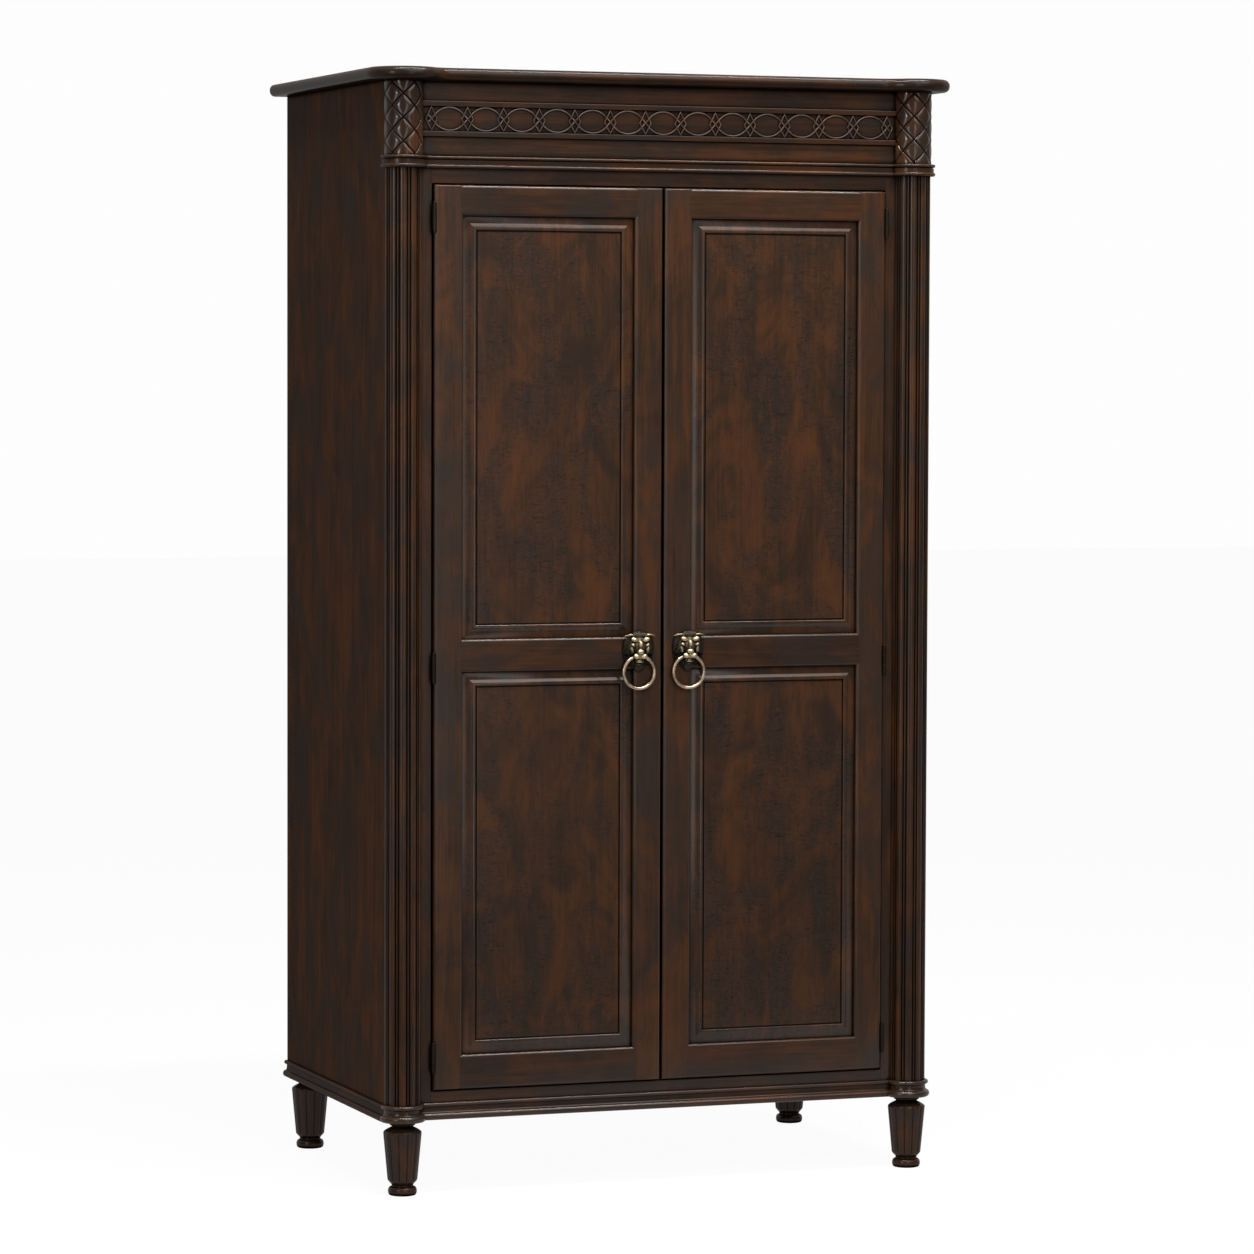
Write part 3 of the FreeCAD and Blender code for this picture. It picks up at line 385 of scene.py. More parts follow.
# Frieze -----------------------------------------------------------------------
# Two flat fillets run between the capitals. Between them a carved band of two strands
# crosses into ovals, and a diamond loop is laced over and under them at each crossing.

fillet_bottoms = 2.0026, 2.0594
fillet_height = 0.010
fillet_proud = 0.0045
fillet_end = column_x + 0.030
for index, low_z in enumerate(fillet_bottoms):
    board("frieze_fillet_%d" % (index + 1), (fillet_end, front_y - fillet_proud, low_z),
          (-fillet_end, front_y + 0.001, low_z + fillet_height), level_walnut, "frieze_fillets", ease=0.0012)

# The strands' walnut is a much lighter copy: a painted sheen along the raised cords.
lace_walnut_painted_sheen = walnut("walnut_lace", "X", 8.8, warmth=0.10, gloss=1.0, rough=0.18, shade_range=(0.25, 0.80),
                     tone=2.5)
band_low, band_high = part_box("frieze_fretwork")
band_z = (band_low.z + band_high.z) / 2
band_half = (band_high.z - band_low.z) / 2
oval_count = 13
knot_half_width = 0.013
strand_radius = 0.00185
strand_slope = math.radians(48.0)
oval_half = (band_high.x - knot_half_width) / oval_count
strand_crest = band_half - strand_radius
strand_bend = ((oval_half - strand_crest / math.tan(strand_slope))
               / (math.sin(strand_slope) - (1 - math.cos(strand_slope)) / math.tan(strand_slope)))
lace_rise = 0.0007
lace_reach = 0.0034
strand_depth = 0.0010
strand_stride = 0.0022


def strand_height(x):
    """Height of the strand's middle above the band's, at a distance from the frieze's middle."""
    place = x / oval_half + oval_count
    index = math.floor(place / 2)
    side = 1 if index % 2 == 0 else -1
    out = abs(x - (2 * index + 1 - oval_count) * oval_half)
    if out < strand_bend * math.sin(strand_slope):
        return side * (strand_crest - strand_bend + math.sqrt(strand_bend ** 2 - out ** 2))
    return side * (oval_half - out) * math.tan(strand_slope)


# Where a strand crosses a side of the diamond, out from the knot's middle.
knot_cross = 1 / (1 / (knot_half_width - strand_radius) + math.tan(strand_slope) / strand_crest)


def lace(x, way):
    """How far a strand rises over, or dips under, what it crosses near a knot."""
    rise = 0.0
    for knot in range(oval_count + 1):
        middle = (2 * knot - oval_count) * oval_half
        for step, shift in enumerate((-knot_cross, 0.0, knot_cross)):
            sign = way * (1 if (step + knot) % 2 == 0 else -1)
            rise += sign * lace_rise * math.exp(-((x - middle - shift) / lace_reach) ** 2)
    return rise


def cords(mesh, lines, radius, roundness, closed=False):
    """Adds round cords swept along lines, from the place and the thickness at each point."""
    path = bpy.data.curves.new("cords", "CURVE")
    path.dimensions = "3D"
    path.bevel_depth = radius
    path.bevel_resolution = roundness
    path.use_fill_caps = True
    for points in lines:
        spline = path.splines.new("POLY")
        spline.points.add(len(points) - 1)
        for point, (x, y, z, thickness) in zip(spline.points, points):
            point.co, point.radius = (x, y, z, 1.0), thickness
        spline.use_cyclic_u = closed
    drawn = bpy.data.objects.new("cords", path)
    bpy.context.collection.objects.link(drawn)
    mesh.from_mesh(bpy.data.meshes.new_from_object(drawn))
    bpy.data.objects.remove(drawn)
    return mesh


strand_end = oval_count * oval_half + 0.006
stride_count = int(2 * strand_end / strand_stride)
strand_lines = []
for way in (1, -1):
    xs = [-strand_end + 2 * strand_end * k / stride_count for k in range(stride_count + 1)]
    strand_lines.append([(x, front_y - strand_depth - lace(x, way), band_z + way * strand_height(x), 1.0)
                         for x in xs])
piece("frieze_strands", cords(bmesh.new(), strand_lines, strand_radius, 4), lace_walnut_painted_sheen, "frieze_fretwork",
      smooth_below=60.0)

loop_radius = 0.0016
loop_steps = 7
loop_x = knot_half_width - loop_radius
loop_z = band_half - loop_radius
loop_lines = []
for knot in range(oval_count + 1):
    middle = (2 * knot - oval_count) * oval_half
    corners = [(loop_x, 0.0), (0.0, loop_z), (-loop_x, 0.0), (0.0, -loop_z)]
    points = []
    for side in range(4):
        start, end = corners[side], corners[(side + 1) % 4]
        sign = -1 if side % 2 == 0 else 1
        for k in range(loop_steps):
            share = k / loop_steps
            x = start[0] + (end[0] - start[0]) * share
            z = start[1] + (end[1] - start[1]) * share
            rise = sign * lace_rise * math.exp(-((abs(x) - knot_cross) / lace_reach) ** 2)
            points.append((middle + x, front_y - strand_depth - rise, band_z + z, 1.0))
    loop_lines.append(points)
piece("frieze_knots", cords(bmesh.new(), loop_lines, loop_radius, 4, True), lace_walnut_painted_sheen, "frieze_fretwork",
      smooth_below=60.0)


# Corner columns ---------------------------------------------------------------
# Half-round shafts of walnut worked with broad reeds and a narrow bead in each groove.
# They are planed in the length, and glued over the joint of the side and the front.

hands = ("left", 1), ("right", -1)
reed_spacing = 36.0
bead_span = 9.0
groove_radius = column_radius - 0.0026
bead_radius = column_radius - 0.0013
# The reeds' grooves get painted shade, dark between two radii about the axis.
reeded_walnut = walnut("walnut_reeded", "Z", 7.7, warmth=0.58, gloss=0.32, rough=0.20, tone=0.92,
                       hollow=(column_radius - 0.0021, column_radius - 0.0011))


def polar(centre_x, radius, degrees, z=0.0):
    """Point round a corner's axis. Zero degrees faces the front."""
    turn = math.radians(degrees)
    return Vector((centre_x + radius * math.sin(turn), front_y - radius * math.cos(turn), z))


def reed(line, x, middle, span, crest, steps, z):
    """One convex reed between two grooves, drawn on in plan."""
    half = math.radians(span / 2)
    reach = (crest ** 2 - groove_radius ** 2) / (2 * (crest - groove_radius * math.cos(half)))
    open_half = math.degrees(math.atan2(groove_radius * math.sin(half),
                                        groove_radius * math.cos(half) - reach))
    line.turn(polar(x, reach, middle, z), 2 * open_half, steps)


for side, sign in hands:
    x, z = sign * column_x, column_low.z
    shaft = Outline(polar(x, groove_radius, -3 * reed_spacing + bead_span / 2, z))
    for k in range(-3, 3):
        reed(shaft, x, (k + 0.5) * reed_spacing, reed_spacing - bead_span, column_radius, 9, z)
        if k < 2:
            reed(shaft, x, (k + 1) * reed_spacing, bead_span, bead_radius, 5, z)
    mesh = shaft.push(0, 0, column_high.z - z)
    saw(mesh, (0, front_y + 0.0002, 0), (0, 1, 0))
    piece(side + "_column_shaft", mesh, reeded_walnut, side + "_column", smooth_below=30.0)


# Capitals ---------------------------------------------------------------------
# Half-round blocks over the columns, carved with a diamond lattice. V grooves climb round
# each block both ways, and the diamonds between them are pillowed with a gouge.

capital_low, capital_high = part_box("left_capital")
capital_radius = 0.0375
capital_z = capital_low.z
capital_height = capital_high.z - capital_z
capital_middle = capital_z + capital_height / 2
lattice_pitch = 0.0448
lattice_step = 36.0
lattice_slope = math.atan2(lattice_pitch / 2, capital_radius * math.radians(lattice_step))
diamond_reach = 0.0162
pillow_depth = 0.0017
groove_depth = 0.0016
groove_half = 0.0017
capital_columns, capital_rows = 112, 128
# The lattice's grooves get painted shade, dark between two radii about the axis.
capital_walnut = walnut("walnut_capital", "Z", 5.2, warmth=0.50, gloss=0.60, rough=0.15,
                        hollow=(capital_radius - 0.0029, capital_radius - 0.0014))


def lattice_radius(degrees, z):
    """Radius of the carved surface: deepest on the two families of grooves."""
    nearest = diamond_reach
    for way in (1, -1):
        climb = (degrees + 18.0) / lattice_step * way
        phase = (z - capital_middle) / lattice_pitch - climb / 2
        away = abs(phase - round(phase)) * lattice_pitch * math.cos(lattice_slope)
        nearest = min(nearest, away)
    pillow = pillow_depth * (1 - nearest / diamond_reach) ** 3
    return capital_radius - pillow - groove_depth * max(0.0, 1 - nearest / groove_half)


for side, sign in hands:
    mesh = bmesh.new()
    bmesh.ops.create_grid(mesh, x_segments=capital_columns, y_segments=capital_rows, size=0.5)
    for vert in mesh.verts:
        degrees = vert.co.x * 180.0
        z = capital_z + (vert.co.y + 0.5) * capital_height
        point = polar(0, lattice_radius(degrees, z), degrees, z)
        vert.co = (sign * (column_x + point.x), point.y, z)
    rim = [edge for edge in mesh.edges if edge.is_boundary]
    for vert in verts_of(bmesh.ops.extrude_edge_only(mesh, edges=rim)["geom"]):
        vert.co.x = sign * column_x
        vert.co.y = front_y
    bmesh.ops.dissolve_degenerate(mesh, dist=1e-6, edges=mesh.edges)
    piece(side + "_capital_carved", mesh, capital_walnut, side + "_capital", smooth_below=34.0)


# Mouldings --------------------------------------------------------------------
# Walnut mouldings run with a plane: one under the frieze and one under the carcass. Each
# straight length dies into half rings, which are turned in one piece with their column block.

def mid_section(place):
    """Section of the upper moulding: rounded foot, flat band, quirk and bead."""
    line = Outline(place(0, 0), (0, -1, 0)).trace(place, (0.006, 0))
    line.turn(place(0.006, 0.0035), 180.0, 8, (0.003 / 0.0035, 1, 1))
    line.trace(place, (0.006, 0.0154), (0.0035, 0.0154), (0.0035, 0.0170), (0.006, 0.0170))
    return line.turn(place(0.006, 0.020), 180.0, 9).trace(place, (0, 0.023))


def base_section(place):
    """Section of the lower moulding: heavy bead, hollow and light bead."""
    line = Outline(place(0, 0), (0, -1, 0)).trace(place, (0.0035, 0))
    line.turn(place(0.0035, 0.0065), 180.0, 10, (0.0055 / 0.0065, 1, 1))
    line.trace(place, (0.0022, 0.0142), (0.0013, 0.0165), (0.0009, 0.0195), (0.0009, 0.0242),
               (0.0025, 0.0250))
    return line.turn(place(0.0025, 0.029), 180.0, 8).trace(place, (0, 0.033))


moulding_walnut = walnut("walnut_moulding", "X", 11.3, warmth=0.42)
mid_walnut = walnut("walnut_mid_moulding", "X", 11.9, warmth=0.40, gloss=0.28, rough=0.24)
side_moulding_walnut = walnut("walnut_side_moulding", "Y", 12.9, warmth=0.42, gloss=0.10)


def half_ring(name, section, z, x, material, replaced):
    """A moulding turned half way round a column's axis, closed to the axis."""
    line = section(lambda u, v: Vector((x + column_radius + u, front_y, z + v)))
    line.run(x, front_y, line.tip.co.z)
    line.run(x, front_y, z)
    line.fill()
    bmesh.ops.spin(line.mesh, geom=line.mesh.verts[:] + line.mesh.edges[:] + line.mesh.faces[:],
                   cent=(x, front_y, z), axis=(0, 0, -1), angle=math.pi, steps=40)
    piece(name, line.mesh, material, replaced)


def straight(name, section, z, start, end, material, replaced):
    """A straight length of moulding between two points on the carcass's face."""
    run = Vector(end) - Vector(start)
    mesh = section(lambda u, v: Vector((u, 0, v))).push(0, run.length, 0)
    heading = math.atan2(run.y, run.x) - math.pi / 2
    bmesh.ops.rotate(mesh, cent=(0, 0, 0), matrix=Matrix.Rotation(heading, 3, "Z"), verts=mesh.verts)
    bmesh.ops.translate(mesh, vec=(*start, z), verts=mesh.verts)
    piece(name, mesh, material, replaced)


side_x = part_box("left_side_panel")[0].x
ring_x = column_x + column_radius
for section, node, rings, wood in (
        (mid_section, "mid_moulding", "mid_moulding_rings", mid_walnut),
        (base_section, "front_base_moulding", "base_moulding_corners", moulding_walnut)):
    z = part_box(node)[0].z
    straight(node + "_length", section, z, (ring_x, front_y), (-ring_x, front_y), wood, node)
    for side, sign in hands:
        half_ring(rings + "_" + side, section, z, sign * column_x, wood, rings)
base_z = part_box("side_base_mouldings")[0].z
for side, sign in hands:
    ends = [(sign * side_x, back_y), (sign * side_x, front_y)][::sign]
    straight(side + "_side_base_length", base_section, base_z, *ends, side_moulding_walnut,
             "side_base_mouldings")


# Feet -------------------------------------------------------------------------
# Four turned walnut feet, each a tapering drum of twelve reeds scalloped at the shoulder,
# over a round pad. A spigot under the collar is glued into the carcass.

foot_top = base_z
reed_count = 12
reed_hollow = 0.0022
foot_steps = 132
reed_low_z, reed_high_z = 0.026, 0.1315
drum_low, drum_high = (0.0284, 0.030), (0.0365, 0.118)     # radius and height
turned_walnut = walnut("walnut_turned", "Z", 6.1, warmth=0.50, gloss=0.32, rough=0.20, shade_range=(0.45, 1.0),
                       tone=0.80)


def foot_mesh(x, y):
    def place(radius, z):
        return x + radius, y, z

    line = Outline((x, y, 0), (0, -1, 0)).trace(place, (0.023, 0))
    line.turn(place(0.023, 0.008), 180.0, 10, (0.0045 / 0.008, 1, 1))
    line.trace(place, (0.0208, 0.0172), (0.0205, 0.0198), (0.0228, 0.0232), (0.0250, 0.0252),
               (0.0262, 0.0268), (0.0276, 0.0285))
    line.trace(place, *([low + (high - low) * k / 11 for low, high in zip(drum_low, drum_high)]
                        for k in range(12)))
    line.trace(place, (0.0364, 0.1195), (0.0360, 0.1208), (0.0349, 0.1221), (0.0330, 0.1237),
               (0.0304, 0.1254), (0.0272, 0.1272), (0.0238, 0.1288), (0.0210, 0.1302),
               (0.0205, 0.1315), (0.0212, 0.1327), (0.0236, 0.1336), (0.0245, 0.1346),
               (0.0245, foot_top), (0, foot_top))
    mesh = line.lathe((x, y, 0), (0, 0, 1), foot_steps)
    bmesh.ops.remove_doubles(mesh, verts=mesh.verts, dist=1e-6)
    for vert in mesh.verts:
        if reed_low_z < vert.co.z < reed_high_z:
            out = Vector((vert.co.x - x, vert.co.y - y))
            turn = math.atan2(out.y, out.x) * reed_count / (2 * math.pi)
            share = abs(2 * (turn - math.floor(turn)) - 1)
            crest = math.sqrt(max(0.0, 1 - share ** 2))
            ridge = drum_low[0] + (vert.co.z - drum_low[1]) * 0.092 - reed_hollow * (1 - crest)
            if out.length > ridge:
                out *= ridge / out.length
                vert.co.x, vert.co.y = x + out.x, y + out.y
    return mesh


for node in ("front_left_foot", "front_right_foot", "rear_left_foot", "rear_right_foot"):
    low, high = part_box(node)
    mesh = foot_mesh((low.x + high.x) / 2, (low.y + high.y) / 2)
    piece(node + "_turned", mesh, turned_walnut, node, smooth_below=34.0)


# Inside of the carcass --------------------------------------------------------
# Plain boards of a lighter, close-grained wood, stained and only thinly polished: back,
# bottom, rear rails, stops, blocks, and a hat shelf on two cleats over a garment rod.

def inner_wood(name, grain, shift=0.0):
    wood = Finish(bpy.data.materials.new(name))
    bands = wood.clouds(along(grain, 1.4, 30.0), shift, 5.0, 0.6, 0.5)
    pores = wood.clouds(along(grain, 16.0, 520.0), shift, 2.0, 0.6, 0.2)
    cloud = wood.clouds(along(grain, 2.0, 5.0), shift, 3.0, 0.5, 0.6)
    colour = wood.tint(wood.fade(bands, 0.32, 0.70), (0.040, 0.0200, 0.0110), (0.092, 0.0480, 0.0265))
    colour = wood.tint(wood.fade(cloud, 0.45, 0.75) * 0.45, colour, (0.118, 0.0580, 0.0290))
    colour = wood.tint(wood.fade(pores, 0.54, 0.72) * 0.4, colour, (0.028, 0.0140, 0.0085))
    return wood.coat(base_color=colour, roughness=wood.fade(cloud, 0.3, 0.7, 0.46, 0.58),
                     specular_ior_level=0.22, normal=wood.bump(pores * 0.6 + bands * 0.4, 0.0004, 0.3))


inner_level = inner_wood("inner_wood_level", "X", 1.7)
inner_upright = inner_wood("inner_wood_upright", "Z", 4.2)
inner_deep = inner_wood("inner_wood_deep", "Y", 6.1)
for node in ("bottom_board", "rear_top_rail", "rear_bottom_rail", "hat_shelf"):
    board(node + "_board", *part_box(node), inner_level, node, "inner_wood", 0.0009)
for node, wood in (("back_panel", inner_upright), ("door_stops", level_walnut),
                   ("foot_blocks", inner_upright), ("shelf_cleats", inner_deep)):
    nodes[node].data.materials.clear()
    nodes[node].data.materials.append(wood)

rod_low, rod_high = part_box("garment_rod")
socket_low, socket_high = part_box("rod_sockets")
rod_y, rod_z = (rod_low.y + rod_high.y) / 2, (rod_low.z + rod_high.z) / 2
rod_radius = (rod_high.z - rod_low.z) / 2
socket_radius = (socket_high.z - socket_low.z) / 2
socket_depth = 0.016


def turned(name, corners, material, replaced):
    """A piece turned about the rod's axis, from pairs of place and radius."""
    line = Outline((corners[0][0], rod_y, rod_z + corners[0][1]), (1, 0, 0))
    line.trace(lambda x, radius: (x, rod_y, rod_z + radius), *corners[1:])
    piece(name, line.lathe((0, rod_y, rod_z), (1, 0, 0), 48), material, replaced, slot="inner_wood")


turned("garment_rod_turned",
       ((rod_low.x, 0), (rod_low.x, rod_radius - 0.001), (rod_low.x + 0.001, rod_radius),
        (rod_high.x - 0.001, rod_radius), (rod_high.x, rod_radius - 0.001), (rod_high.x, 0)),
       inner_level, "garment_rod")
for side, sign in hands:
    wall, lip, bed = sign * socket_low.x, sign * (socket_low.x + socket_depth), sign * rod_low.x
    snug = rod_radius + 0.0001
    turned(side + "_rod_socket_turned",
           ((wall, 0), (wall, socket_radius), (lip - sign * 0.005, socket_radius),
            (lip - sign * 0.002, socket_radius - 0.001), (lip, socket_radius - 0.004),
            (lip, rod_radius + 0.001), (lip - sign * 0.0009, snug), (bed, snug), (bed, 0)),
           inner_deep, "rod_sockets")


# Doors ------------------------------------------------------------------------
# Each door is a frame of walnut stiles and rails, coped and tenoned, with its outer edges
# and inner arrises rounded over. Its three rails run between its two stiles.

door_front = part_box("left_door_hinge_stile")[0].y
arris_round = 0.0055
door_walnut = walnut("walnut_door", "Z", 15.2, warmth=0.60)
rail_walnut = walnut("walnut_rail", "X", 17.4, warmth=0.50, tone=0.84)


def frame_member(name, low, high, sides, material, node, body):
    """A stile or rail, with its front edges rounded over on the named sides."""
    mesh = bmesh.new()
    places = {"-x": (0, low[0]), "+x": (0, high[0]), "-z": (2, low[2]), "+z": (2, high[2])}
    edges = [edge for edge in block(mesh, low, high) for axis, place in (places[side] for side in sides)
             if all(abs(vert.co[axis] - place) < 1e-6 and abs(vert.co.y - low[1]) < 1e-6
                    for vert in edge.verts)]
    round_over(mesh, edges, arris_round, 6)
    piece(name, mesh, material, node, body=body)


def rail_box(door, rail):
    """Box of a rail with its ends drawn under the rounded arrises of the stiles."""
    low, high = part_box(door + rail)
    ends = sorted(corner.x for stile in ("_hinge_stile", "_meeting_stile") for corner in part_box(door + stile))
    low.x, high.x = ends[1] - arris_round, ends[2] + arris_round
    return low, high


for door in ("left_door", "right_door"):
    for stile in ("_hinge_stile", "_meeting_stile"):
        frame_member(door + stile + "_board", *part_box(door + stile), ("-x", "+x", "-z", "+z"), door_walnut,
                     door + stile, door)
    for rail in ("_top_rail", "_lock_rail", "_bottom_rail"):
        frame_member(door + rail + "_board", *rail_box(door, rail), ("-z", "+z"), rail_walnut,
                     door + rail, door)


# Door panels ------------------------------------------------------------------
# Raised panels veneered with clouded, rippled walnut, loose in the frame's grooves. Each
# sweeps up in a hollow to a mitred bead, with a narrow quirk round its flat field.

panel_shadow_gap = 0.0015
panel_shoulder = 0.0001
panel_hollow, panel_swell = 0.0175, 0.0050
hollow_start, steepest = 8.0, 31.0      # degrees of slope, where the hollow starts and ends
bead_inner, bead_fall = 0.0030, 0.0041
quirk_width = 0.002
field_rise = (0.0024, 0.0012)
tongue_depth = 0.007
tongue_thickness = 0.006
tongue_front = door_front + 0.009


def step_in(mesh, face, width, rise):
    """Insets a face and raises what is inside. Nothing is ever quite upright."""
    bmesh.ops.inset_region(mesh, faces=[face], thickness=max(width, 0.00002), depth=rise,
                           use_even_offset=True)


def rounding(width, rise, count, inward):
    """Steps over a quarter of an ellipse, rising, or falling when it turns inward."""
    marks = [math.radians(90.0 * k / count) for k in range(count + 1)]
    steps = [(width * (math.cos(a) - math.cos(b)), rise * (math.sin(b) - math.sin(a)))
             for a, b in zip(marks, marks[1:])]
    return [(along, -up) for along, up in reversed(steps)] if inward else steps


def sweep(width, start, end, count):
    """Steps over a width whose slope turns evenly from one angle to another."""
    return [(width / count, width / count * math.tan(math.radians(start + (end - start) * (k + 0.5) / count)))
            for k in range(count)]


def raised_panel(name, node, body, material):
    low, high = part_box(node)
    mesh = bmesh.new()
    block(mesh, (low.x, tongue_front, low.z), (high.x, tongue_front + tongue_thickness, high.z))
    mesh.normal_update()
    face = min(mesh.faces, key=lambda f: f.normal.y)
    steps = [(tongue_depth + panel_shadow_gap, 0.0), (0.0, panel_shoulder)]
    steps += sweep(panel_hollow, hollow_start, steepest, 9) + sweep(panel_swell, steepest, 0.0, 9)
    steps += rounding(bead_inner, bead_fall, 6, True)
    steps += [(quirk_width, 0.0), (0.0, field_rise[0] - field_rise[1])]
    steps += rounding(field_rise[1], field_rise[1], 3, False)
    for width, rise in steps:
        step_in(mesh, face, width, rise)
    piece(name, mesh, material, node, body=body, slot="figured_walnut", smooth_below=32.0)


for side, shift in (("left", 2.0), ("right", 25.0)):
    for part, extra in (("lower_panel", 0.0), ("upper_panel", 9.0)):
        veneer = walnut("%s_%s_veneer" % (side, part), "Z", shift + extra, figure=1.0, warmth=0.52)
        node = "%s_door_%s" % (side, part)
        raised_panel(node + "_veneered", node, side + "_door", veneer)


# Hinges -----------------------------------------------------------------------
# Three brass butts to a door. One leaf is screwed to the door's edge and one to the frame,
# and a pin with ball tips is held fast in the frame's two knuckles.

tarnish_and_shade = (0.012, 0.009, 0.006)


def brass(name, dark, light, rough_low, rough_high, depth, proud=None):
    """Antique brass: darkened in its hollows by tarnish and painted shade, rubbed bright where it stands up or
    out.
    """
    metal = Finish(bpy.data.materials.new(name))
    edges = metal.add("NewGeometry", output=7)
    stain = metal.clouds((90.0, 90.0, 90.0), 2.0, 4.0, 0.6)
    scratch = metal.clouds((900.0, 900.0, 900.0), 5.0, 2.0, 0.5)
    wear = metal.fade(edges, 0.485, 0.545) * 0.55 + metal.fade(stain, 0.35, 0.7) * 0.25
    if proud:
        wear = (wear + 0.35) * metal.fade(metal.axis(1), *proud, 0.15, 1.0)
    colour = metal.tint(metal.fade(wear, 0.12, 0.85), dark, light)
    # Hollows tint toward near-black: tarnish, with painted shade.
    colour = metal.tint(recess_shade(metal, 0.20, 0.85), tarnish_and_shade, colour)
    return metal.coat(base_color=colour, metallic=1.0,
                      roughness=metal.fade(stain, 0.3, 0.7, rough_low, rough_high),
                      normal=metal.bump(scratch * 0.5 + stain * 0.5, depth, 0.3))


hinge_brass = brass("hinge_brass", (0.008, 0.006, 0.004), (0.024, 0.018, 0.012), 0.50, 0.60, 0.0003)
hinge_axis = -0.4625
hinge_y = -0.301
hinge_heights = (0.259, 1.000, 1.850)
hinge_length = 0.051
barrel_radius = 0.0036
leaf_thickness = 0.0013
knuckle_gap = 0.0003
leaf_rear = -0.278
web_depth = 0.006
pin_radius, pin_proud = 0.0026, 0.0012
tip_radius, tip_flatness = 0.0030, 0.70
screw_places = (-0.018, -0.285), (0.0, -0.2905), (0.018, -0.285)     # height and depth


def disc(mesh, radius, top_radius, depth, segments, place, axis="Z"):
    """Adds a round block about an axis through its middle, and gives its points."""
    lean = Matrix.Rotation(0 if axis == "Z" else math.pi / 2, 4, axis)
    return bmesh.ops.create_cone(mesh, cap_ends=True, segments=segments, radius1=radius, radius2=top_radius,
                                 depth=depth, matrix=Matrix.Translation(place) @ lean)["verts"]


def drum(mesh, radius, low, high, x, y):
    """Adds an upright cylinder with its ends eased."""
    made = disc(mesh, radius, radius, high - low, 24, (x, y, (low + high) / 2))
    rims = [edge for edge in {edge for vert in made for edge in vert.link_edges}
            if abs(edge.verts[0].co.z - edge.verts[1].co.z) < 1e-7]
    round_over(mesh, rims, min(0.0003, radius / 4), 2)


def ball(mesh, radius, place, flatness, segments=20, rings=14):
    """Adds a ball, flattened from top to bottom."""
    matrix = Matrix.Translation(place) @ Matrix.Diagonal((1, 1, flatness, 1.0))
    bmesh.ops.create_uvsphere(mesh, u_segments=segments, v_segments=rings, radius=radius, matrix=matrix)


def hinges(name, knuckles, face, thickness, sign, node, body="carcass"):
    """One side's three leaves and knuckles. The frame's two knuckles hold the pin."""
    mesh = bmesh.new()
    third = hinge_length / 3
    near, far = sorted((face * sign, (face + thickness) * sign))
    for middle in hinge_heights:
        base = middle - hinge_length / 2
        for index in knuckles:
            low = base + index * third + (knuckle_gap / 2 if index else 0)
            high = base + (index + 1) * third - (knuckle_gap / 2 if index < 2 else 0)
            drum(mesh, barrel_radius, low, high, sign * hinge_axis, hinge_y)
            block(mesh, (near, hinge_y, low), (far, hinge_y + web_depth, high))
        plate = block(mesh, (near, hinge_y + barrel_radius, base), (far, leaf_rear, base + hinge_length))
        round_over(mesh, plate, 0.0003, 2)
        for drop, forward in screw_places:
            disc(mesh, 0.0024, 0.0021, 0.0002, 16, (sign * (face + thickness), forward, middle + drop), "Y")
        for way in (-1, 1) if len(knuckles) == 2 else ():
            end = middle + way * hinge_length / 2
            drum(mesh, pin_radius, *sorted((end, end + way * pin_proud)), sign * hinge_axis, hinge_y)
            ball(mesh, tip_radius, (sign * hinge_axis, hinge_y, end + way * 2 * pin_proud), tip_flatness)
    piece(name, mesh, hinge_brass, node, body=body, slot="antique_brass")


edge_x, frame_x = -0.461, -0.464
for side, sign in hands:
    door = side + "_door"
    hinges(door + "_hinge_butts", (1,), edge_x, -leaf_thickness, sign, door + "_hinge_leaves", door)
for side, sign in hands:
    hinges(side + "_frame_hinge_butts", (0, 2), frame_x, leaf_thickness, sign, "frame_hinge_leaves")


# Lion-mask pulls --------------------------------------------------------------
# Cast brass lion masks, chased after casting and bolted from behind. The ring hangs in the
# open mouth, so the muzzle is bored through from side to side.

mask_brass = brass("mask_brass", (0.030, 0.024, 0.017), (0.54, 0.425, 0.265), 0.32, 0.44, 0.0005,
                   (-0.3095, -0.3195))
pull_x = -0.051
pivot_y = -0.308
pivot_z = 1.017
mouth_bore = 0.0067
mouth_half_width = 0.0150
ring_shadow = 0.0041            # the mane lies lower than this behind the ring
voxel = 0.00056

wax_mesh = bmesh.new()
ball(wax_mesh, 0.001, (0, 0, 0), 1.0, 16, 12)
wax_ball = bpy.data.meshes.new("wax_ball")
wax_mesh.to_mesh(wax_ball)
wax_mesh.free()


def on_mask(x, forward, z):
    """Place on the left mask, from millimetres about the ring's pivot and before the door."""
    return Vector((pull_x + x / 1000, door_front - forward / 1000, pivot_z + z / 1000))


def lump(mesh, x, forward, z, reach, tilt):
    """Adds a swelling with its reach along X, Y and Z, leaning by its tilt in degrees."""
    matrix = (Matrix.Translation(on_mask(x, forward, z)) @ Matrix.Rotation(math.radians(tilt), 4, "Y")
              @ Matrix.Diagonal((*reach, 1.0)))
    first = len(mesh.verts)
    mesh.from_mesh(wax_ball)
    mesh.verts.ensure_lookup_table()
    for vert in mesh.verts[first:]:
        vert.co = matrix @ vert.co


def lock(root, knee, tip, thick, steps=9):
    """A lock of hair that bends from its root past a knee to its tip, and thins out."""
    line = []
    for share in (k / (steps - 1) for k in range(steps)):
        place = (on_mask(*root) * (1 - share) ** 2 + on_mask(*knee) * 2 * share * (1 - share)
                 + on_mask(*tip) * share ** 2)
        line.append((*place, thick * (1.0 - 0.65 * share ** 1.5)))
    return line


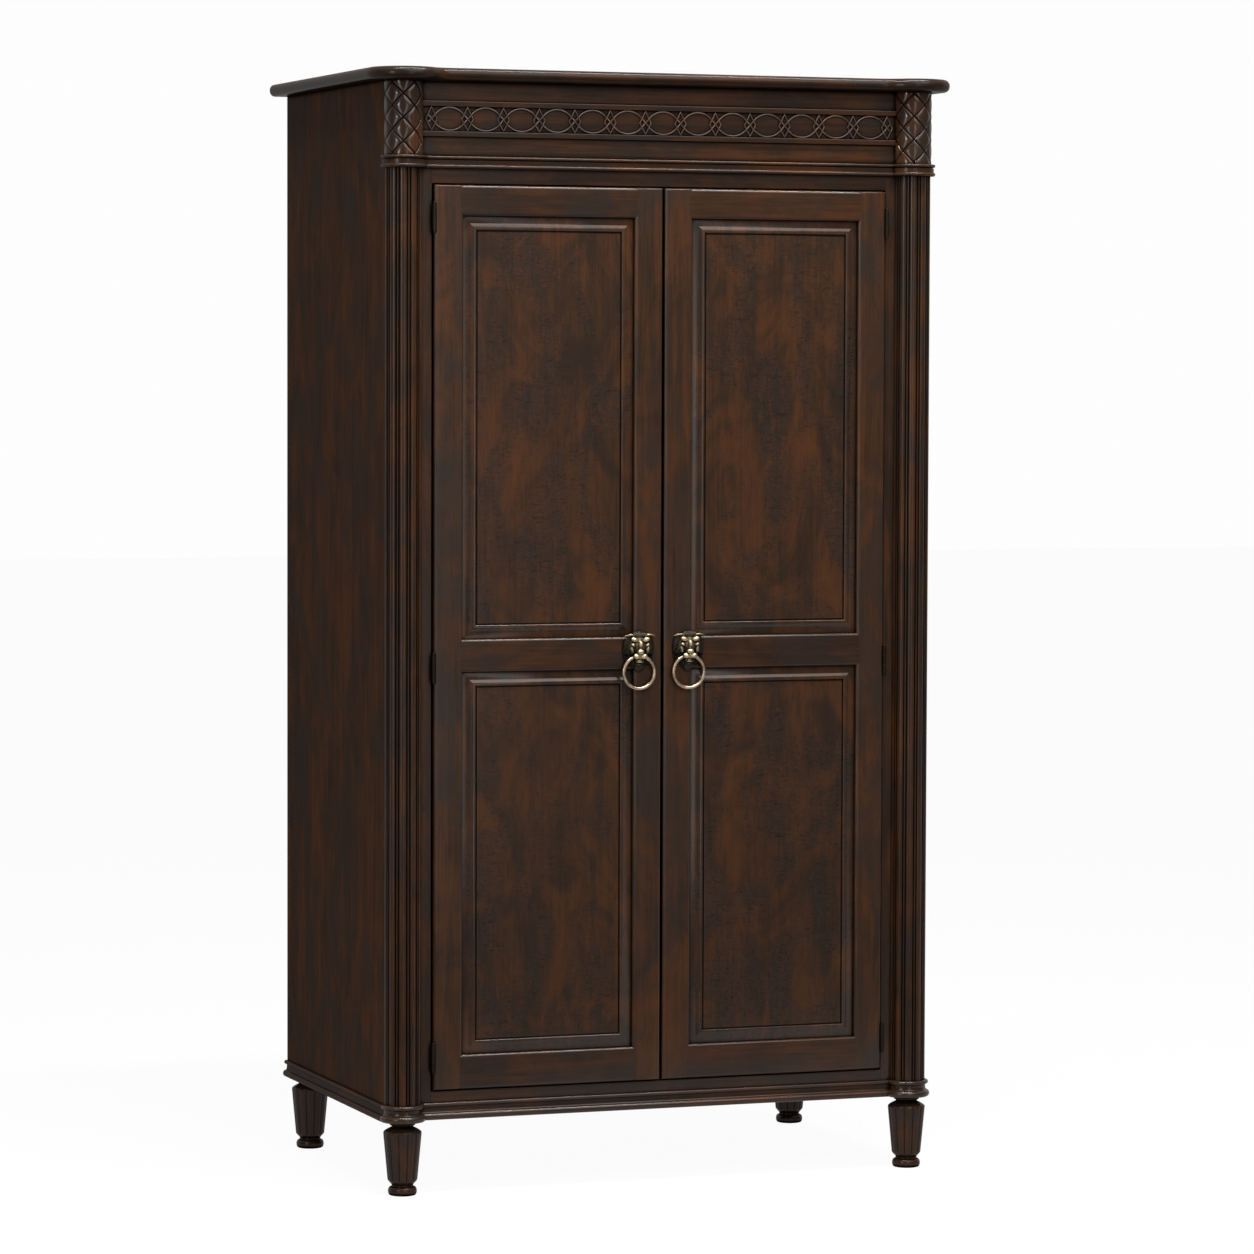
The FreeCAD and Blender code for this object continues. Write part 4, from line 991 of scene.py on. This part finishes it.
def mane():
    """Locks of both sides: a low outer row, a proud inner row, the crown, ears and beard."""
    locks = []
    for side in (-1, 1):
        for k in range(9):
            turn = math.radians(30.0 + 15.0 * k)
            x, z = 18.5 * math.sin(turn), 20.0 + 21.5 * math.cos(turn)
            low = z < 8.0
            drop = 14.0 + 0.8 * k
            edge = math.sqrt(max(0.0, 1 - ((z - drop - 12.0) / 44.0) ** 2)) * 31.5
            locks.append(lock((side * x, 4.5 if low else 8.5, z),
                              (side * (edge - 1.0), 3.0 if low else 7.5, z - drop * 0.2),
                              (side * edge, 2.2, z - drop), 1.9 if low else 2.2))
            if not low and k > 0:
                locks.append(lock((side * (x - 2.0), 12.0, z + 3.5), (side * (x + 5.5), 12.0, z),
                                  (side * (x + 6.0), 7.0, max(z - drop * 1.1, 5.0)), 1.5))
        for k in range(4):
            locks.append(lock((side * (16.0 - 2.6 * k), 3.4, 2.0 - 4.0 * k),
                              (side * (20.5 - 3.0 * k), 3.0, -5.0 - 4.5 * k),
                              (side * (19.5 - 4.0 * k), 2.0, -15.0 - 4.4 * k), 1.7))
        locks += [lock((side * 13.0, 12.0, 40.0), (side * 22.0, 14.0, 43.0), (side * 33.0, 11.5, 37.6), 2.1),
                  lock((side * 14.0, 9.0, 37.4), (side * 22.0, 9.0, 38.6), (side * 30.0, 6.0, 36.4), 2.3)]
    locks += [lock((k * 1.5, 11.5, 37.0), (k * 2.6, 12.0, 44.5), (k * 2.9, 7.0, 48.6 - 0.14 * k * k), 1.05)
              for k in range(-5, 6)]
    locks += [lock((k * 1.9, 7.5, -17.0), (k * 2.3, 6.5, -23.0), (k * 1.7, 2.2, -31.0 + 0.28 * k * k), 1.5)
              for k in range(-4, 5)]
    return locks


def finished(name, mesh, *steps):
    """Runs a mesh through modifiers and gives the result as a new bmesh."""
    rough = placed(name, mesh)
    for kind, settings in steps:
        modifier = rough.modifiers.new(kind.title(), kind)
        for key, value in settings.items():
            setattr(modifier, key, value)
    bpy.context.view_layer.update()
    result = bmesh.new()
    result.from_mesh(rough.evaluated_get(bpy.context.evaluated_depsgraph_get()).data)
    bpy.data.objects.remove(rough)
    return result


wax = bmesh.new()
for x, forward, z, reach, tilt in (
        (0, 0.4, 10, (29.0, 3.6, 36.5), 0),             # plate
        (0, 4.0, 22, (19.0, 11.4, 21.5), 0),            # skull
        (0, 4.0, 37, (14.5, 7.4, 11.0), 0),             # crown
        (12.0, 13.4, 32.0, (8.0, 6.4, 4.8), 16),        # brows
        (14.6, 12.4, 22.0, (5.0, 5.6, 3.6), 20),        # eyes
        (16.0, 8.6, 12.5, (4.8, 6.6, 9.0), -12),        # cheeks
        (0, 15.6, 23.4, (4.4, 5.6, 6.2), 0),            # bridge of the nose
        (0, 11.6, 16.0, (3.2, 5.6, 7.0), 0),
        (0, 16.8, 8.8, (7.2, 5.4, 4.8), 0),             # nose
        (7.6, 13.0, -0.4, (7.8, 7.0, 5.6), 10),         # muzzle
        (0, 9.0, 1.0, (13.0, 8.6, 9.0), 0),
        (0, 7.0, -8.8, (10.8, 7.4, 4.6), 0),            # jaw
        (0, 11.0, -11.2, (8.4, 4.4, 1.5), 0),           # lip
        (0, 5.6, -15.5, (8.6, 5.8, 4.6), 0),            # chin
        (0, 9.2, -15.8, (6.0, 3.0, 1.2), 0)):
    for side in (-1, 1) if x else (1,):
        lump(wax, side * x, forward, z, reach, -side * tilt)
cords(wax, mane(), 0.001, 3)
cast = finished("mask_casting", wax, ("REMESH", {"mode": "VOXEL", "voxel_size": voxel}),
                ("SMOOTH", {"factor": 0.5, "iterations": 2}))
for vert in cast.verts:
    if abs(vert.co.x - pull_x) > mouth_half_width - 0.0015 and vert.co.z < pivot_z + 0.0034:
        vert.co.y = max(vert.co.y, door_front - ring_shadow)
saw(cast, (0, door_front + 0.0001, 0), (0, 1, 0))
bore = bmesh.new()
disc(bore, mouth_bore, mouth_bore, 2 * mouth_half_width, 40, (pull_x, pivot_y, pivot_z), "Y")
borer = placed("mouth_bore", bore)
mask = finished("mask_bored", cast,
                ("BOOLEAN", {"operation": "DIFFERENCE", "object": borer, "solver": "MANIFOLD"}))
bpy.data.objects.remove(borer)
right_mask = mask.copy()
bmesh.ops.scale(right_mask, vec=(-1, 1, 1), verts=right_mask.verts)
for side, mesh in (("left", mask), ("right", right_mask)):
    piece(side + "_lion_mask", mesh, mask_brass, side + "_door_pull_mask", body=side + "_door",
          slot="antique_brass", smooth_below=60.0)


# Pull rings -------------------------------------------------------------------
# Plain rings of round brass rod, bent, brazed and rubbed bright by the hand.

ring_brass = brass("ring_brass", (0.250, 0.180, 0.115), (0.560, 0.430, 0.300), 0.24, 0.36, 0.0002)
ring_centre_z = 0.9858
ring_reach = 0.0312
ring_tube = 0.0032
for side, sign in hands:
    x = sign * pull_x
    tube = Outline((x, pivot_y, ring_centre_z + ring_reach - ring_tube), (1, 0, 0))
    tube.turn((x, pivot_y, ring_centre_z + ring_reach), 360.0, 20)
    bmesh.ops.remove_doubles(tube.mesh, verts=tube.mesh.verts, dist=1e-7)
    piece(side + "_pull_ring_bent", tube.lathe((x, pivot_y, ring_centre_z), (0, 1, 0), 72), ring_brass,
          side + "_door_pull_ring", body=side + "_ring", slot="antique_brass", smooth_below=60.0)


# Catches ----------------------------------------------------------------------
# A magnetic catch under the top stop holds each door by a steel plate, which is screwed to
# the back of the door near its upper corner.

steel = Finish(bpy.data.materials.new("catch_steel"))
streak = steel.clouds((900.0, 60.0, 60.0), 0.0, 3.0, 0.6)
film = steel.clouds((70.0, 70.0, 70.0), 3.0, 3.0, 0.5)
grey_steel = steel.tint(steel.fade(film, 0.3, 0.7), (0.30, 0.30, 0.31), (0.46, 0.46, 0.47))
catch_steel = steel.coat(base_color=grey_steel, metallic=1.0, normal=steel.bump(streak, 0.0002, 0.25),
                         roughness=steel.fade(film, 0.3, 0.7, 0.32, 0.46))
catch_low, catch_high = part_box("magnet_catches")
catch_length = 0.040
for side, sign in hands:
    low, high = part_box(side + "_door_strike_plate")
    mesh = bmesh.new()
    round_over(mesh, block(mesh, low, high), 0.0003, 2)
    for place in (low.x + 0.005, high.x - 0.005):
        disc(mesh, 0.0026, 0.0030, 0.0002, 20, (place, high.y, (low.z + high.z) / 2), "X")
    piece(side + "_strike_plate_pressed", mesh, catch_steel, side + "_door_strike_plate",
          body=side + "_door", slot="catch_steel")
    near, far = sorted((sign * catch_low.x, sign * (catch_low.x + catch_length)))
    mesh = bmesh.new()
    case = block(mesh, (near, catch_low.y + 0.0006, catch_low.z), (far, catch_high.y, catch_high.z))
    round_over(mesh, case, 0.0015, 3)
    for z in (catch_low.z + 0.003, catch_low.z + 0.009):
        pole = block(mesh, (near + 0.004, catch_low.y, z), (far - 0.004, catch_low.y + 0.004, z + 0.003))
        round_over(mesh, pole, 0.0002, 2)
    piece(side + "_magnet_catch_body", mesh, catch_steel, "magnet_catches", slot="catch_steel")


# Studio -----------------------------------------------------------------------
# A white floor that keeps the wardrobe's shadow, a white surround, a curtain and a rug that
# keep that white out of the lacquer, a soft box, a strip overhead, and weak lamps at the left.

ambient, background = 0.20, 0.985


def seen_white(finish, mirrored=1.0):
    """One for rays that see the white background. Reflections see it by a share."""
    camera_ray, through_ray, mirrored_ray = (
        finish.add("LightPath", output="Is %s Ray" % kind) for kind in ("Camera", "Transmission", "Glossy"))
    return camera_ray + through_ray + mirrored_ray * mirrored


def backdrop(name, mesh, finish, strength, share):
    """Places a mesh as backdrop, which shows white by a share and wears its finish in the rest."""
    glow = finish.add("Emission", None, {"Color": (1.0, 1.0, 1.0), "Strength": strength})
    mixed = finish.add("MixShader", None, {0: share, 1: Signal(finish, finish.shader.outputs[0]), 2: glow})
    finish.feed(finish.tree.nodes["Material Output"].inputs["Surface"], mixed)
    placed(name, mesh, finish.owner)


paint = Finish(bpy.data.materials.new("studio_floor"))
paint.coat(base_color=(0.35, 0.35, 0.35), roughness=0.9, specular_ior_level=0.0)
floor = bmesh.new()
bmesh.ops.create_grid(floor, x_segments=1, y_segments=1, size=30.0)
backdrop("studio_floor", floor, paint, 1.085, seen_white(paint) * 0.88)

cloth = Finish(bpy.data.materials.new("dark_cloth"))
cloth.coat(base_color=(0.02, 0.02, 0.02), roughness=0.9, specular_ior_level=0.0,
           emission_color=(1.0, 1.0, 1.0), emission_strength=0.15)
curtain = Outline((-11.28, 4.10, 0.0)).turn((0, 0, 0), 200.0, 24).mesh
raised = bmesh.ops.extrude_edge_only(curtain, edges=curtain.edges[:])["geom"]
bmesh.ops.translate(curtain, vec=(0, 0, 7.0), verts=verts_of(raised))
backdrop("dark_curtain", curtain, cloth, background, seen_white(cloth, 0.06))
rug = bmesh.new()
spread = (Matrix.Translation((-0.216, -5.02, 0.003)) @ Matrix.Rotation(math.radians(-20.2), 4, "Z")
          @ Matrix.Diagonal((12.0, 6.9, 1.0, 1.0)))
bmesh.ops.create_grid(rug, x_segments=1, y_segments=1, size=0.5, matrix=spread)
placed("dark_rug", rug, cloth.owner)

world = bpy.data.worlds.new("studio")
bpy.context.scene.world = world
sky = Finish(world, "Background")
sky.coat(color=(1.0, 1.0, 1.0), strength=seen_white(sky) * (background - ambient) + ambient)

for name, place, aim, width, height, watts in (
        ("left_box", (-4.6, -3.6, 1.5), (0, -0.2, 1.1), 1.6, 2.8, 44.0),
        ("left_spot", (-4.3, -3.4, 2.45), (-0.3, -0.3, 2.0), 0.3, 0.8, 30.0),
        ("slim_strip", (0.1, -5.0, 1.3), (-0.2, -0.3, 1.3), 1.2, 2.6, 24.0),
        ("front_box", (0.7, -3.1, 3.9), (0, -0.3, 1.3), 2.8, 2.4, 106.0),
        ("overhead_strip", (0.0, -0.95, 4.4), (0, -0.3, 1.0), 3.2, 0.25, 245.0)):
    lamp = bpy.data.lights.new(name, "AREA")
    lamp.shape = "RECTANGLE"
    lamp.size, lamp.size_y, lamp.energy = width, height, watts
    box = bpy.data.objects.new(name, lamp)
    bpy.context.collection.objects.link(box)
    box.location = place
    box.rotation_euler = (Vector(aim) - Vector(place)).to_track_quat("-Z", "Y").to_euler()

lens = bpy.data.cameras.new("studio_camera")
lens.lens = 143.373
lens.sensor_width = 36.0
lens.clip_end = 100.0
camera = bpy.data.objects.new("studio_camera", lens)
bpy.context.collection.objects.link(camera)
camera.matrix_world = (Matrix.Translation((-3.37883, -9.26600, 1.57381))
                       @ Matrix.Rotation(math.radians(-20.2384), 4, "Z")
                       @ Matrix.Rotation(math.radians(90.0 - 3.0008), 4, "X")
                       @ Matrix.Rotation(math.radians(0.1943), 4, "Z"))
bpy.context.scene.camera = camera
bpy.context.scene.view_settings.view_transform = "Standard"
